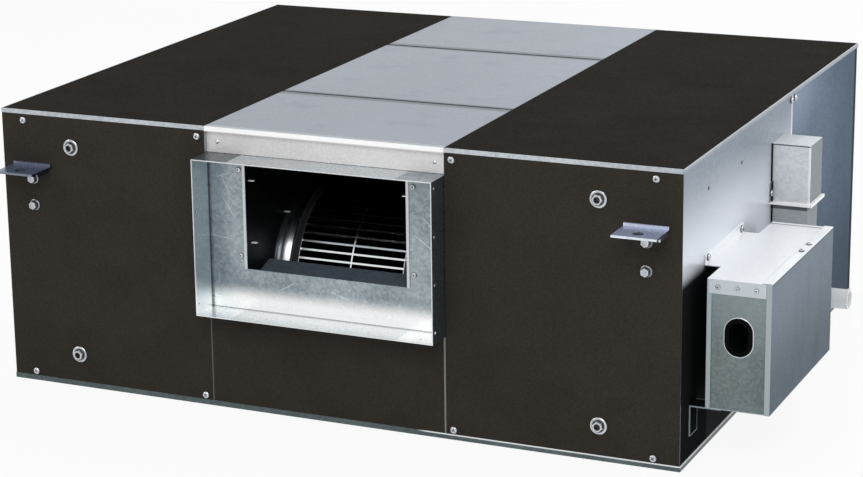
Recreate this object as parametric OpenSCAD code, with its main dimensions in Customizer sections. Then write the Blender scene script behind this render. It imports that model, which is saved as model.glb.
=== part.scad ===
// Concealed ducted fan coil unit: sheet casing, centrifugal blower, water coil, electric box.
// Millimetres. X runs along the width, Y from the outlet (front) to the return (back), Z up.

/* [Casing] */

// Width of the casing across its two sides
case_w = 1000; // [960:10:1200]
// Depth of the casing from outlet face to return face
case_d = 850; // [830:10:1000]
// Height of the casing
case_h = 398; // [390:2:440]
// Thickness of casing sheet and of the dark facing sheets
sheet = 1.2; // [1.0:0.1:1.5]
// Height of the upturned lip round the base pan
base_lip = 7.5; // [6:0.5:10]
// Depth of the lip round the top panels
top_lip = 6; // [5:0.5:8]
// Width of the centre bay between the two front panels
bay_w = 352; // [352:2:400]
// Distance from the front face back to the outlet plane
bay_recess = 7; // [6:0.5:9]
// Clearance between neighbouring sheets
gap = 0.4; // [0.3:0.1:0.6]
// Distance of the side seam behind the middle of the casing
seam_y = 67; // [60:1:80]
// Distance of the front lap joint on the top ahead of the middle
lap_front = 188; // [170:1:200]
// Distance of the rear lap joint on the top behind the middle
lap_rear = 171; // [150:1:190]

/* [Outlet collar] */

// Width of the collar over its flanges
collar_w = 351; // [340:1:351]
// Distance of the collar's upper flange below the top of the casing
collar_drop = 37; // [36:0.5:41]
// How far the collar reaches below the outlet opening
collar_below = 59.5; // [57:0.5:61]
// How far the collar stands out from the front face
collar_out = 40; // [30:1:50]
// Width of the outlet opening, which is also the inside width of the scroll
outlet_w = 238; // [232:2:250]
// Distance of the upper edge of the opening below the top of the casing
outlet_drop = 46; // [44:0.5:52]
// Height of the lower edge of the opening above the wheel axis
outlet_rise = 45.5; // [44:0.5:48]
// Radius of the rivet holes in the collar flanges
rivet_hole_r = 2; // [1.5:0.25:2.5]

/* [Blower] */

// Outer radius of the blower wheel over its end rings
wheel_r = 126; // [118:1:127]
// Half the width of the blower wheel
wheel_half = 95; // [85:1:98]
// Height of the wheel axis above the base
wheel_z = 156; // [154:1:158]
// Distance of the wheel axis behind the front face
wheel_back = 200; // [195:1:210]
// Number of blades on each half of the wheel
blade_count = 64; // [48:2:72]
// Radius of a blade's curve
blade_curve = 20; // [19:0.5:22]
// Radius of the rolled outer corner of the wheel's end rings
ring_roll = 5; // [3:0.5:6]
// Width of the band of an end ring over the blade tips
ring_band = 16; // [12:1:20]
// Radial depth of the blade ring
blade_depth = 20; // [18:0.5:21]
// Least distance from the wheel to the scroll wrap, at the front
tongue_gap = 4; // [3:0.5:6]
// Radius of the inlet throat
throat_r = 101; // [94:0.5:101]
// Flare radius of the inlet bells
bell_flare = 20; // [17:1:20]

/* [Motor] */

// Outer radius of the motor shell
motor_r = 62; // [56:1:66]
// Length of the motor shell
motor_len = 106; // [100:1:112]
// Radius of the motor shaft
shaft_r = 7; // [6:0.5:8]
// Running clearance of the shaft in its bearings and hub
run_fit = 0.05; // [0.03:0.01:0.08]

/* [Coil and drain] */

// Number of fins drawn in the coil
fin_count = 48; // [40:2:60]
// Number of tube hairpins
hairpin_count = 10; // [8:1:10]
// Radius of the coil tubes
tube_r = 4.8; // [4:0.1:5]
// Distance between the two rows of tubes
row_pitch = 26; // [24:1:28]
// Distance of the coil face ahead of the back of the casing
coil_back = 125; // [120:1:130]
// Height of the drain pan floor above the base
pan_floor = 22; // [20:0.5:24]
// Outer radius of the drain spigot
spigot_r = 15; // [13:0.5:16]
// Length of the drain spigot outside the casing wall
spigot_out = 44; // [35:1:50]
// Radius of the water headers
header_r = 11; // [10:0.5:12]
// Radius of the threaded bore in the water sockets
socket_bore_r = 12; // [11:0.5:13]

/* [Electric box] */

// Size of the box away from the casing wall
box_w = 84; // [80:1:100]
// Length of the box along the casing
box_len = 290; // [270:2:300]
// Height of the box
box_h = 174; // [168:1:180]
// Height of the box underside above the base
box_z = 78; // [74:1:82]
// Distance of the box front end behind the front face of the casing
box_back = 35; // [30:1:45]
// Width of the air gap between casing wall and box
box_gap = 22; // [18:1:26]
// Distance of the wall tab from the front end of the box
tab_back = 57; // [50:1:64]
// Length of the wall tab on the box top
tab_len = 169; // [150:1:180]
// Width of the oval cable entry
entry_w = 31; // [30:1:40]
// Height of the oval cable entry
entry_h = 45; // [42:1:52]

/* [Hangers and fasteners] */

// Distance of the hanger holes in from the sides of the casing
hanger_inset = 48; // [48:1:60]
// Width of a hanger tongue
hanger_w = 60; // [50:1:62]
// Thickness of the hanger steel
hanger_t = 3; // [2.5:0.25:4]
// How far a hanger tongue stands out from the casing
hanger_out = 50; // [45:1:60]
// Height of the hanger tongue top above the base
hanger_z = 319.5; // [318:0.5:326]
// Height of the lip of a hanger above its tongue
hanger_lip = 4; // [3:0.5:7]
// Height of the side lips under a hanger tongue
hanger_rib = 4; // [3:0.5:6]
// Distance of the hanger hole from the casing face
hanger_hole_out = 33; // [30:1:36]
// Radius of the hanger hole
hanger_hole_r = 6.5; // [5:0.25:7]
// Radius of the sheet screw shanks
screw_r = 2.2; // [1.8:0.1:2.5]
// Radius of the sheet screw heads
screw_head_r = 5; // [4.5:0.1:5.5]
// Clearance round every screw and bolt shank
shank_fit = 0.3; // [0.2:0.05:0.4]

/* [Hidden] */

$fn = 64;

// Casing planes
half_w = case_w / 2;
front = -case_d / 2;
back = case_d / 2;
bay = bay_w / 2;
panel_face = front + sheet;
panel_back = front + 2 * sheet;
rear_face = back - sheet;
rear_in = back - 2 * sheet;
wall_out = half_w - sheet;
wall_in = half_w - 2 * sheet;
top_face = case_h - sheet;
top_under = case_h - 2 * sheet;
side_flange = 16;

// Outlet planes
plate_face = front + bay_recess;
plate_back = plate_face + sheet;
outlet_half = outlet_w / 2;
outlet_high = case_h - outlet_drop;
outlet_low = wheel_z + outlet_rise;
collar_top = case_h - collar_drop;
collar_z = outlet_low - collar_below;
collar_h = collar_top - collar_z;

// Scroll: three tangent arcs and straight runs round the wheel
wheel_y = front + wheel_back;
scroll_low = 10;
arc_y = wheel_y + 10;
arc_front_r = wheel_r + tongue_gap + 10;
arc_low_r = arc_front_r + 20;
arc_high_r = outlet_high - scroll_low - arc_low_r;
arc_front_z = scroll_low + arc_front_r;
arc_z = scroll_low + arc_low_r;
arc_high_y = arc_y + arc_low_r - arc_high_r;
wrap_front = arc_y - arc_front_r;
tongue_top = outlet_low - 2.5;
tongue_foot = outlet_low - 12.5;
tongue_knee = wrap_front - 32;

// Wheel and motor
ring_sheet = 1.2;
blade_tip_r = wheel_r - ring_sheet - 0.4;
blade_root_r = blade_tip_r - blade_depth;
hub_r = 22;
motor_start = 30;
motor_end = motor_start + motor_len;
bell_plate = 8;
band_x = motor_end - 14;
arm_angles = [30, 150, 270];

// Coil and drain
coil_face = back - coil_back;
fin_low = pan_floor + 10;
fin_high = top_under - 6;
fin_half = half_w - 55;
coil_plate = fin_half + 2;
tube_pitch = (fin_high - fin_low) / (hairpin_count + 0.5);
row_a = coil_face + 14;
row_b = row_a + row_pitch;
coil_depth = row_pitch + 28;
bend_x = coil_plate + 6;
header_x = -(half_w - 30);
header_shift = 6;
neck_r = header_r - 2;
inlet_z = 90;
outlet_z = case_h - 70;
vent_z = case_h - 25;
tube_wall = 0.6;
pan_half = wall_in - 6;
pan_front = coil_face - 72;
pan_rear = coil_face + coil_depth + 24;
pan_high = pan_floor + 36;
spigot_y = pan_front + 22;
spigot_z = pan_floor + spigot_r + 5;

// Electric box
box_in = wall_out + box_gap;
box_out = box_in + box_w;
box_front = front + box_back;
box_rear = box_front + box_len;
tab_front = box_front + tab_back;
tab_rear = tab_front + tab_len;
tab_screw_y = [tab_front + 11, tab_rear - 12];
box_top_z = box_z + box_h;
entry_x = box_in + box_w / 2;
entry_z = box_z + 99;

// Pipe cover
cover_high = case_h - 55;
cover_split = cover_high - 82;
cover_low = cover_split - 151;
cover_front = seam_y - 99;
cover_screw_y = cover_front - 7;
cover_screw_z = cover_split + 13;

// Hangers
hanger_x = half_w - hanger_inset;
bolt_high = hanger_z - 19;
bolt_low = hanger_z - 57.5;
bolt_r = 4;
leg_low = hanger_z - 74;
washer_bolts = [[half_w - 112, case_h - 48], [half_w - 110, 48]];
panel_screw_spots = [
    [bay + 11, 14], [bay + 11, case_h - 15], [half_w - 36, 14], [half_w - 36, case_h - 15]
];
collar_screw_spots = [[outlet_half + 10, outlet_high - 12], [outlet_half + 10, outlet_low + 18]];
rear_screw_z = [30, case_h / 2, case_h - 30];

// Helper shapes

// Block between pairs of limits
module block(x, y, z) {
    translate([x[0], y[0], z[0]])
        cube([x[1] - x[0], y[1] - y[0], z[1] - z[0]]);
}

// Round bar along X between two limits
module bar_x(x, y, z, r) {
    translate([x[0], y, z])
        rotate([0, 90, 0])
            cylinder(h = x[1] - x[0], r = r);
}

// Round bar along Y between two limits
module bar_y(y, x, z, r) {
    translate([x, y[1], z])
        rotate([90, 0, 0])
            cylinder(h = y[1] - y[0], r = r);
}

// Round bar along Z between two limits
module bar_z(z, x, y, r) {
    translate([x, y, z[0]])
        cylinder(h = z[1] - z[0], r = r);
}

// Outline drawn in Y and Z, pushed along X between two limits
module along_x(x) {
    translate([x[0], 0, 0])
        rotate([90, 0, 90])
            linear_extrude(height = x[1] - x[0])
                children();
}

// Outline drawn as radius and X, turned about the wheel axis
module about_wheel() {
    translate([0, wheel_y, wheel_z])
        rotate([0, 90, 0])
            rotate_extrude()
                children();
}

// Children as drawn on the right, mirrored for the left
module on_side(side) {
    if (side > 0)
        children();
    else
        mirror([1, 0, 0])
            children();
}

// Children on the right and mirrored on the left
module both_sides() {
    children();
    mirror([1, 0, 0])
        children();
}

// Flat outline with round ends, taller than wide
module oval(w, h) {
    translate([-w / 2, -(h - w) / 2])
        square([w, h - w]);
    for (end = [-1, 1])
        translate([0, end * (h - w) / 2])
            circle(r = w / 2);
}

// Quarter of a round outline; the signs pick the quarter
module quarter(cy, cz, r, sy, sz) {
    intersection() {
        translate([cy, cz])
            circle(r = r);
        translate([sy > 0 ? cy : cy - r, sz > 0 ? cz : cz - r])
            square([r, r]);
    }
}

// Quarter of a bent sheet seen from its edge
module quarter_sheet(cy, cz, r, sy, sz) {
    difference() {
        quarter(cy, cz, r + sheet, sy, sz);
        translate([cy, cz])
            circle(r = r);
    }
}

// Casing

module base_panel() {
    color("Gainsboro") {
        block([-half_w, half_w], [front, back], [0, sheet]);
        block([-half_w, half_w], [front, panel_face], [0, base_lip]);
        block([-half_w, half_w], [rear_face, back], [0, base_lip]);
        both_sides()
            block([wall_out, half_w], [front, back], [0, base_lip]);
    }
}

// Front part of a side: plate with a flange turned in behind the front panel
module side_front(side) {
    color("Silver")
        difference() {
            on_side(side) {
                block([wall_in, wall_out], [panel_back, seam_y - gap / 2], [sheet, top_under]);
                block([half_w - side_flange, wall_in], [panel_back, panel_back + sheet],
                    [sheet, top_under]);
            }
            on_side(side) {
                for (z = [14, case_h - 13])
                    bar_x([wall_in - 1, wall_out + 1], seam_y - 9, z, screw_r + shank_fit);
                for (y = [front + 105, front + 249])
                    bar_x([wall_in - 1, wall_out + 1], y, case_h - 49, 3);
                if (side > 0) {
                    for (y = tab_screw_y)
                        bar_x([wall_in - 1, wall_out + 1], y, box_top_z + 6, screw_r + shank_fit);
                    bar_x([wall_in - 1, wall_out + 1], cover_screw_y, cover_screw_z, screw_r + shank_fit);
                }
            }
        }
}

// Rear part of a side: plate, joggle under the seam, flange turned in ahead of the rear frame
module side_rear(side) {
    color("Silver")
        difference() {
            on_side(side) {
                block([wall_in, wall_out], [seam_y + gap / 2, rear_in], [sheet, top_under]);
                block([wall_in - sheet, wall_in], [seam_y - 25, seam_y + 25], [sheet, top_under]);
                block([half_w - side_flange, wall_in], [rear_in - sheet, rear_in], [sheet, top_under]);
            }
            on_side(side) {
                for (z = [14, case_h - 13])
                    for (y = [seam_y - 9, seam_y + 9])
                        bar_x([wall_in - 3, wall_out + 1], y, z, screw_r + shank_fit);
                for (z = rear_screw_z)
                    bar_y([rear_in - 5, rear_in + 5], half_w - 9, z, screw_r + shank_fit);
                if (side > 0)
                    bar_x([wall_in - 1, wall_out + 1], spigot_y, spigot_z, spigot_r + shank_fit);
                else {
                    bar_x([wall_in - 1, wall_out + 1], row_b + header_shift, inlet_z, neck_r + 2);
                    bar_x([wall_in - 1, wall_out + 1], row_a - header_shift, outlet_z, neck_r + 2);
                    bar_x([wall_in - 1, wall_out + 1], row_a - header_shift, vent_z, 5);
                }
            }
        }
}

module side_panel_left_front() {
    side_front(-1);
}

module side_panel_left_rear() {
    side_rear(-1);
}

module side_panel_right_front() {
    side_front(1);
}

module side_panel_right_rear() {
    side_rear(1);
}

// Holes through a front panel and its facing: screws, washer bolts, hanger bolts and tongue slot
module front_holes() {
    for (spot = panel_screw_spots)
        bar_y([front - 1, panel_back + 2], spot[0], spot[1], screw_r + shank_fit);
    for (spot = washer_bolts)
        bar_y([front - 1, panel_back + 1], spot[0], spot[1], 5 + shank_fit);
    for (z = [bolt_low, bolt_high])
        bar_y([front - 1, panel_back + 1], hanger_x, z, bolt_r + shank_fit);
    block([hanger_x - hanger_w / 2 - 0.5, hanger_x + hanger_w / 2 + 0.5],
        [front - 1, panel_back + 1], [hanger_z - hanger_t - 0.5, hanger_z + 0.5]);
}

module front_panel(side) {
    color("Silver")
        on_side(side)
            difference() {
                union() {
                    block([bay + gap, wall_out], [panel_face, panel_back], [sheet, top_under]);
                    block([bay + gap, bay + gap + sheet], [panel_back, panel_back + 14],
                        [sheet, top_under]);
                }
                front_holes();
            }
}

module front_facing(side) {
    color([0.19, 0.18, 0.16])
        on_side(side)
            difference() {
                block([bay + gap, half_w - 1], [front, panel_face],
                    [base_lip + gap, case_h - top_lip - gap]);
                front_holes();
            }
}

module front_panel_left() {
    front_panel(-1);
}

module front_panel_right() {
    front_panel(1);
}

module front_facing_left() {
    front_facing(-1);
}

module front_facing_right() {
    front_facing(1);
}

module front_panel_lower() {
    color("Silver") {
        block([-bay, bay], [panel_face, panel_back], [sheet, collar_z - gap]);
        block([-bay, bay], [panel_back, panel_back + 12],
            [collar_z - gap - sheet, collar_z - gap]);
    }
}

module front_facing_lower() {
    color([0.19, 0.18, 0.16])
        block([-bay, bay], [front, panel_face], [base_lip + gap, collar_z - gap]);
}

// Recessed strip over the collar, folded forward and over the top edge
module front_fascia() {
    fold_low = case_h - top_lip;
    color("WhiteSmoke")
        difference() {
            union() {
                block([-bay, bay], [front, front + 12 - gap], [top_face, case_h]);
                block([-bay, bay], [front, panel_face], [fold_low, case_h]);
                block([-bay, bay], [front, plate_back], [fold_low - sheet, fold_low]);
                block([-bay, bay], [plate_face, plate_back], [collar_top + gap, fold_low]);
                block([-bay + 21, bay - 21], [front + 6, front + 26], [top_under, top_face]);
            }
            for (x = [-bay + 16, bay - 16])
                bar_y([plate_face - 1, plate_back + 1], x, collar_top + 15, 1.8);
        }
}

// Angles along the top and bottom of each front panel that take its screws
module front_rails() {
    color("Silver")
        for (side = [-1, 1])
            on_side(side)
                difference() {
                    union() {
                        for (top = [0, 1])
                            front_rail(top);
                    }
                    for (spot = panel_screw_spots)
                        bar_y([panel_back - 1, panel_back + 3], spot[0], spot[1], screw_r + shank_fit);
                }
}

module front_rail(top) {
    low = top > 0 ? top_under - 25 : sheet;
    shelf = top > 0 ? top_under - sheet : sheet;
    block([bay + 5, half_w - side_flange - 1], [panel_back, panel_back + sheet], [low, low + 25]);
    block([bay + 5, half_w - side_flange - 1], [panel_back, panel_back + 22], [shelf, shelf + sheet]);
}

module top_panel(side) {
    lip_low = case_h - top_lip;
    color("Silver")
        on_side(side) {
            block([bay + gap, half_w], [front, back], [top_under, top_face]);
            block([bay - 20, bay + gap], [front + 30, back - 20], [top_under, top_face]);
            block([bay + gap, half_w], [front, panel_face], [lip_low, case_h]);
            block([bay + gap, half_w], [rear_face, back], [lip_low, case_h]);
            block([wall_out, half_w], [front, back], [lip_low, case_h]);
        }
}

module top_facing(side) {
    color([0.19, 0.18, 0.16])
        on_side(side)
            block([bay + gap, wall_out - gap], [panel_face + gap, rear_face - gap],
                [top_face, case_h]);
}

module top_panel_left() {
    top_panel(-1);
}

module top_panel_right() {
    top_panel(1);
}

module top_facing_left() {
    top_facing(-1);
}

module top_facing_right() {
    top_facing(1);
}

module top_centre_front() {
    color("LightSteelBlue")
        block([-bay, bay], [front + 12, -lap_front - 3], [top_face, case_h]);
}

// Middle plate with a joggled strip at both ends under its neighbours
module top_centre_middle() {
    color("LightSteelBlue") {
        block([-bay, bay], [-lap_front + 3, lap_rear - 3], [top_face, case_h]);
        block([-bay + 21, bay - 21], [-lap_front - 22, -lap_front + 22], [top_under, top_face]);
        block([-bay + 21, bay - 21], [lap_rear - 22, lap_rear + 22], [top_under, top_face]);
    }
}

module top_centre_rear() {
    color("LightSteelBlue") {
        block([-bay, bay], [lap_rear + 3, back], [top_face, case_h]);
        block([-bay, bay], [rear_face, back], [case_h - top_lip, case_h]);
    }
}

// Rear plate with the return-air opening and a flange round it for a duct
module return_frame() {
    open_half = hanger_x - hanger_w / 2 - 17;
    open_low = 62;
    open_high = case_h - 33;
    color("Silver")
        difference() {
            union() {
                block([-wall_out, wall_out], [rear_in, rear_face], [sheet, top_under]);
                block([-open_half - sheet, open_half + sheet], [rear_in, back + 25],
                    [open_low - sheet, open_high + sheet]);
            }
            block([-open_half, open_half], [rear_in - 1, back + 26], [open_low, open_high]);
            both_sides() {
                for (z = rear_screw_z)
                    bar_y([rear_in - 1, rear_face + 1], half_w - 9, z, screw_r + shank_fit);
                for (z = [bolt_low, bolt_high])
                    bar_y([rear_in - 1, rear_face + 1], hanger_x, z, bolt_r + shank_fit);
                block([hanger_x - hanger_w / 2 - 0.5, hanger_x + hanger_w / 2 + 0.5],
                    [rear_in - 1, rear_face + 1], [hanger_z - hanger_t - 0.5, hanger_z + 0.5]);
            }
        }
}

// Outlet and blower

// Tray with the outlet opening: plate, four flanges, a hem at both sides of the opening
module duct_collar() {
    half = collar_w / 2;
    tip = front - collar_out;
    color("Silver")
        difference() {
            union() {
                difference() {
                    block([-half, half], [tip, plate_back], [collar_z, collar_top]);
                    block([-half + sheet, half - sheet], [tip - 1, plate_face],
                        [collar_z + sheet, collar_top - sheet]);
                }
                both_sides()
                    block([outlet_half, outlet_half + 4], [plate_face - sheet, plate_face],
                        [outlet_low, outlet_high]);
            }
            block([-outlet_half, outlet_half], [plate_face - 3, plate_back + 1],
                [outlet_low, outlet_high]);
            both_sides() {
                for (spot = collar_screw_spots)
                    bar_y([plate_face - 1, plate_back + 1], spot[0], spot[1], screw_r + shank_fit);
                for (k = [0 : 3])
                    bar_x([half - 3, half + 1], front - 32, collar_z + 15 + k * (collar_h - 25) / 3,
                        rivet_hole_r);
            }
            for (k = [-2 : 2])
                for (z = [collar_z, collar_top - sheet])
                    bar_z([z - 1, z + sheet + 1], k * (half - 23) / 2, front - 24, rivet_hole_r);
        }
}

// Edge outline of the wrap: vertical front, three arcs, straight run to the outlet
module scroll_wrap() {
    color("DimGray")
        along_x([-outlet_half, outlet_half]) {
            translate([wrap_front - sheet, arc_front_z])
                square([sheet, tongue_top - 4 - arc_front_z]);
            quarter_sheet(arc_y, arc_front_z, arc_front_r, -1, -1);
            quarter_sheet(arc_y, arc_z, arc_low_r, 1, -1);
            quarter_sheet(arc_high_y, arc_z, arc_high_r, 1, 1);
            translate([plate_back, outlet_high])
                square([arc_high_y - plate_back, sheet]);
        }
}

// Sloping plate under the outlet with a leg on the wrap and a flange on the collar plate
module cutoff_tongue() {
    lip_y = wrap_front + 1;
    slope = (tongue_top - 1.4 - tongue_foot + sheet) / (lip_y - tongue_knee);
    leg_out = wrap_front - 2 * sheet;
    leg_in = wrap_front - sheet;
    color("Gray")
        along_x([-outlet_half, outlet_half])
            polygon([
                [plate_back, tongue_foot], [tongue_knee, tongue_foot], [lip_y, tongue_top],
                [lip_y, tongue_top - 1.4],
                [leg_in, tongue_foot - sheet + slope * (leg_in - tongue_knee)],
                [leg_in, tongue_top - 34], [leg_out, tongue_top - 34],
                [leg_out, tongue_foot - sheet + slope * (leg_out - tongue_knee)],
                [tongue_knee, tongue_foot - sheet], [plate_back + sheet, tongue_foot - sheet],
                [plate_back + sheet, tongue_foot - 20], [plate_back, tongue_foot - 20]
            ]);
}

// Outline of a scroll side plate, drawn to the outside of the wrap
module scroll_outline() {
    quarter(arc_y, arc_front_z, arc_front_r + sheet, -1, -1);
    quarter(arc_y, arc_z, arc_low_r + sheet, 1, -1);
    quarter(arc_high_y, arc_z, arc_high_r + sheet, 1, 1);
    translate([wrap_front - sheet, arc_front_z - 1])
        square([arc_y - wrap_front + sheet + 1, tongue_top - arc_front_z + 2]);
    polygon([
        [plate_back, tongue_foot - sheet], [tongue_knee, tongue_foot - sheet],
        [wrap_front - sheet, tongue_top - 2], [arc_y, tongue_top - 2],
        [arc_high_y + 1, outlet_high + sheet], [plate_back, outlet_high + sheet]
    ]);
    translate([min(arc_y, arc_high_y) - 1, arc_z - 1])
        square([abs(arc_y - arc_high_y) + 2, tongue_top]);
    translate([arc_y - 1, arc_front_z])
        square([20, arc_z - arc_front_z + 1]);
}

// Side plate with the inlet hole, an outlet flange and three lanced tabs inside
module scroll_side(side) {
    hole_r = throat_r + bell_flare + 0.5;
    color("DarkSlateGray")
        on_side(side)
            difference() {
                union() {
                    along_x([outlet_half, outlet_half + sheet])
                        difference() {
                            intersection() {
                                scroll_outline();
                                translate([plate_back, 0])
                                    square([case_d, outlet_high + sheet]);
                            }
                            translate([wheel_y, wheel_z])
                                circle(r = hole_r);
                        }
                    block([outlet_half, outlet_half + 24], [plate_back, plate_back + sheet],
                        [tongue_foot, outlet_high]);
                    block([outlet_half - sheet, outlet_half], [front + 12, front + 20],
                        [outlet_high - 29, outlet_high - 27]);
                    block([outlet_half - sheet, outlet_half], [wheel_y - 85, wheel_y - 77],
                        [wheel_z + 98, wheel_z + 100]);
                    block([outlet_half - sheet, outlet_half], [front + 16, front + 24],
                        [outlet_low + 33.5, outlet_low + 35.5]);
                }
                for (spot = collar_screw_spots)
                    bar_y([plate_back - 1, plate_back + 2], spot[0], spot[1], screw_r + shank_fit);
            }
}

module scroll_side_left() {
    scroll_side(-1);
}

module scroll_side_right() {
    scroll_side(1);
}

// Flared inlet rings: throat tube, quarter-round flare and a flat rim on the side plate
module inlet_bells() {
    rim_x = outlet_half + sheet;
    flare_x = rim_x + sheet - bell_flare;
    color("Silver")
        both_sides()
            about_wheel() {
                translate([throat_r, wheel_half - 3])
                    square([sheet, flare_x - wheel_half + 3]);
                translate([throat_r + bell_flare, flare_x])
                    intersection() {
                        difference() {
                            circle(r = bell_flare);
                            circle(r = bell_flare - sheet);
                        }
                        translate([-bell_flare, 0])
                            square([bell_flare, bell_flare]);
                    }
                translate([throat_r + bell_flare, rim_x])
                    square([7, sheet]);
            }
}

// Rear feet from the base pan up the scroll side plates
module blower_feet() {
    foot_y = arc_y + 118;
    color("Silver")
        both_sides() {
            block([outlet_half + sheet, outlet_half + 2 * sheet], [foot_y, foot_y + 26],
                [sheet, 88]);
            block([outlet_half + sheet, outlet_half + 26], [foot_y, foot_y + 26], [sheet, 2 * sheet]);
        }
}

// One forward-curved blade seen from its end
module blade_outline() {
    intersection() {
        translate([blade_root_r, blade_curve])
            difference() {
                circle(r = blade_curve + 0.5, $fn = 240);
                circle(r = blade_curve - 0.5, $fn = 240);
            }
        translate([blade_root_r, -2])
            square([blade_depth + 2, blade_curve]);
        circle(r = blade_tip_r, $fn = 240);
    }
}

module wheel_blades() {
    color("LightGray")
        both_sides()
            for (k = [0 : blade_count - 1])
                translate([1, wheel_y, wheel_z])
                    rotate([k * 360 / blade_count, 0, 0])
                        along_x([0, wheel_half - ring_roll - gap - 1])
                            blade_outline();
}

module wheel_disc() {
    color("LightGray")
        difference() {
            bar_x([-1, 1], wheel_y, wheel_z, blade_tip_r);
            bar_x([-2, 2], wheel_y, wheel_z, hub_r + run_fit);
        }
}

// End rings: a flat ring, a rolled corner and a band over the blade tips
module wheel_end_rings() {
    roll_r = wheel_r - ring_roll;
    roll_x = wheel_half - ring_roll;
    color("LightGray")
        both_sides()
            about_wheel() {
                translate([blade_root_r, wheel_half - ring_sheet])
                    square([roll_r - blade_root_r, ring_sheet]);
                translate([roll_r, roll_x])
                    intersection() {
                        difference() {
                            circle(r = ring_roll);
                            circle(r = ring_roll - ring_sheet);
                        }
                        square([ring_roll, ring_roll]);
                    }
                translate([wheel_r - ring_sheet, wheel_half - ring_band])
                    square([ring_sheet, ring_band - ring_roll]);
            }
}

module wheel_hub() {
    color("DimGray")
        difference() {
            union() {
                bar_x([-14, motor_start - bell_plate - 3], wheel_y, wheel_z, hub_r);
                bar_x([1, 5], wheel_y, wheel_z, hub_r + 14);
            }
            bar_x([-15, motor_start], wheel_y, wheel_z, shaft_r + run_fit);
        }
}

// Shaft with the rotor pressed on it, drawn as one turning piece
module motor_shaft() {
    color("Gray") {
        bar_x([-18, motor_end + bell_plate + 5], wheel_y, wheel_z, shaft_r);
        bar_x([motor_start + 20, motor_end - 20], wheel_y, wheel_z, motor_r - 24);
    }
}

module motor_stator() {
    color("Peru")
        difference() {
            bar_x([motor_start + 16, motor_end - 16], wheel_y, wheel_z, motor_r - 3 - run_fit);
            bar_x([motor_start, motor_end], wheel_y, wheel_z, motor_r - 23.4);
        }
}

module motor_shell() {
    color("DimGray")
        difference() {
            bar_x([motor_start, motor_end], wheel_y, wheel_z, motor_r);
            bar_x([motor_start - 1, motor_end + 1], wheel_y, wheel_z, motor_r - 3);
        }
}

module motor_end_bells() {
    color("Gray")
        for (x = [motor_start - bell_plate, motor_end])
            difference() {
                bar_x([x, x + bell_plate], wheel_y, wheel_z, motor_r);
                bar_x([x - 1, x + bell_plate + 1], wheel_y, wheel_z, shaft_r + run_fit);
            }
}

// Clamp band round the motor shell with a bolted lug
module motor_band() {
    color("Silver")
        difference() {
            union() {
                bar_x([band_x, band_x + 12], wheel_y, wheel_z, motor_r + 2.5);
                block([band_x, band_x + 12], [wheel_y + motor_r - 2, wheel_y + motor_r + 16],
                    [wheel_z - 8, wheel_z + 8]);
            }
            bar_x([band_x - 1, band_x + 13], wheel_y, wheel_z, motor_r + run_fit);
            block([band_x - 1, band_x + 13], [wheel_y + motor_r - 4, wheel_y + motor_r + 17],
                [wheel_z - 2, wheel_z + 2]);
        }
}

// Three radial arms from the band to the right side plate
module motor_arms() {
    rim_x = outlet_half + sheet;
    color("Silver")
        for (angle = arm_angles)
            difference() {
                translate([0, wheel_y, wheel_z])
                    rotate([angle, 0, 0]) {
                        block([band_x + 3, band_x + 8], [motor_r, wheel_r + 18], [-7, 7]);
                        block([rim_x, band_x + 8], [wheel_r + 5, wheel_r + 18], [-7, 7]);
                    }
                bar_x([band_x - 1, band_x + 13], wheel_y, wheel_z, motor_r + 2.5 + run_fit);
            }
}

// Coil and drain

// Tube places seen from the end of the coil
module tube_spots() {
    for (k = [0 : hairpin_count - 1]) {
        translate([row_a, fin_low + (k + 0.5) * tube_pitch])
            children();
        translate([row_b, fin_low + (k + 1) * tube_pitch])
            children();
    }
}

module coil_fins() {
    fin_t = 0.8;
    step = (2 * fin_half - fin_t) / (fin_count - 1);
    color("LightGray")
        for (k = [0 : fin_count - 1])
            along_x([-fin_half + k * step, -fin_half + k * step + fin_t])
                difference() {
                    translate([coil_face, fin_low])
                        square([coil_depth, fin_high - fin_low]);
                    tube_spots()
                        circle(r = tube_r);
                }
}

// Tube pairs: two straight tubes and a return bend at the right end, drawn just clear of them
module coil_tubes() {
    rise = tube_pitch / 2;
    bend_r = sqrt(row_pitch * row_pitch + rise * rise) / 2;
    bore = tube_r - tube_wall;
    color("Peru")
        for (k = [0 : hairpin_count - 1]) {
            z = fin_low + (k + 0.5) * tube_pitch;
            for (tube = [[row_a, z], [row_b, z + rise]])
                difference() {
                    bar_x([header_x + 5, bend_x], tube[0], tube[1], tube_r);
                    bar_x([header_x, bend_x + 1], tube[0], tube[1], bore);
                }
            translate([bend_x + gap, (row_a + row_b) / 2, z + rise / 2])
                rotate([atan2(rise, row_pitch), 0, 0])
                    rotate([0, 0, -90])
                        rotate_extrude(angle = 180)
                            translate([bend_r, 0])
                                difference() {
                                    circle(r = tube_r);
                                    circle(r = bore);
                                }
        }
}

// Tube sheets standing in the drain pan, flanged front and back
module coil_end_plates() {
    color("Silver")
        both_sides()
            difference() {
                union() {
                    block([coil_plate, coil_plate + 1.5],
                        [coil_face - 6, coil_face + coil_depth + 6], [pan_floor + sheet, top_under]);
                    for (y = [coil_face - 6, coil_face + coil_depth + 4.5])
                        block([coil_plate, coil_plate + 16], [y, y + 1.5],
                            [pan_floor + sheet, top_under]);
                }
                along_x([coil_plate - 1, coil_plate + 3])
                    tube_spots()
                        circle(r = tube_r + shank_fit);
            }
}

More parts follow.
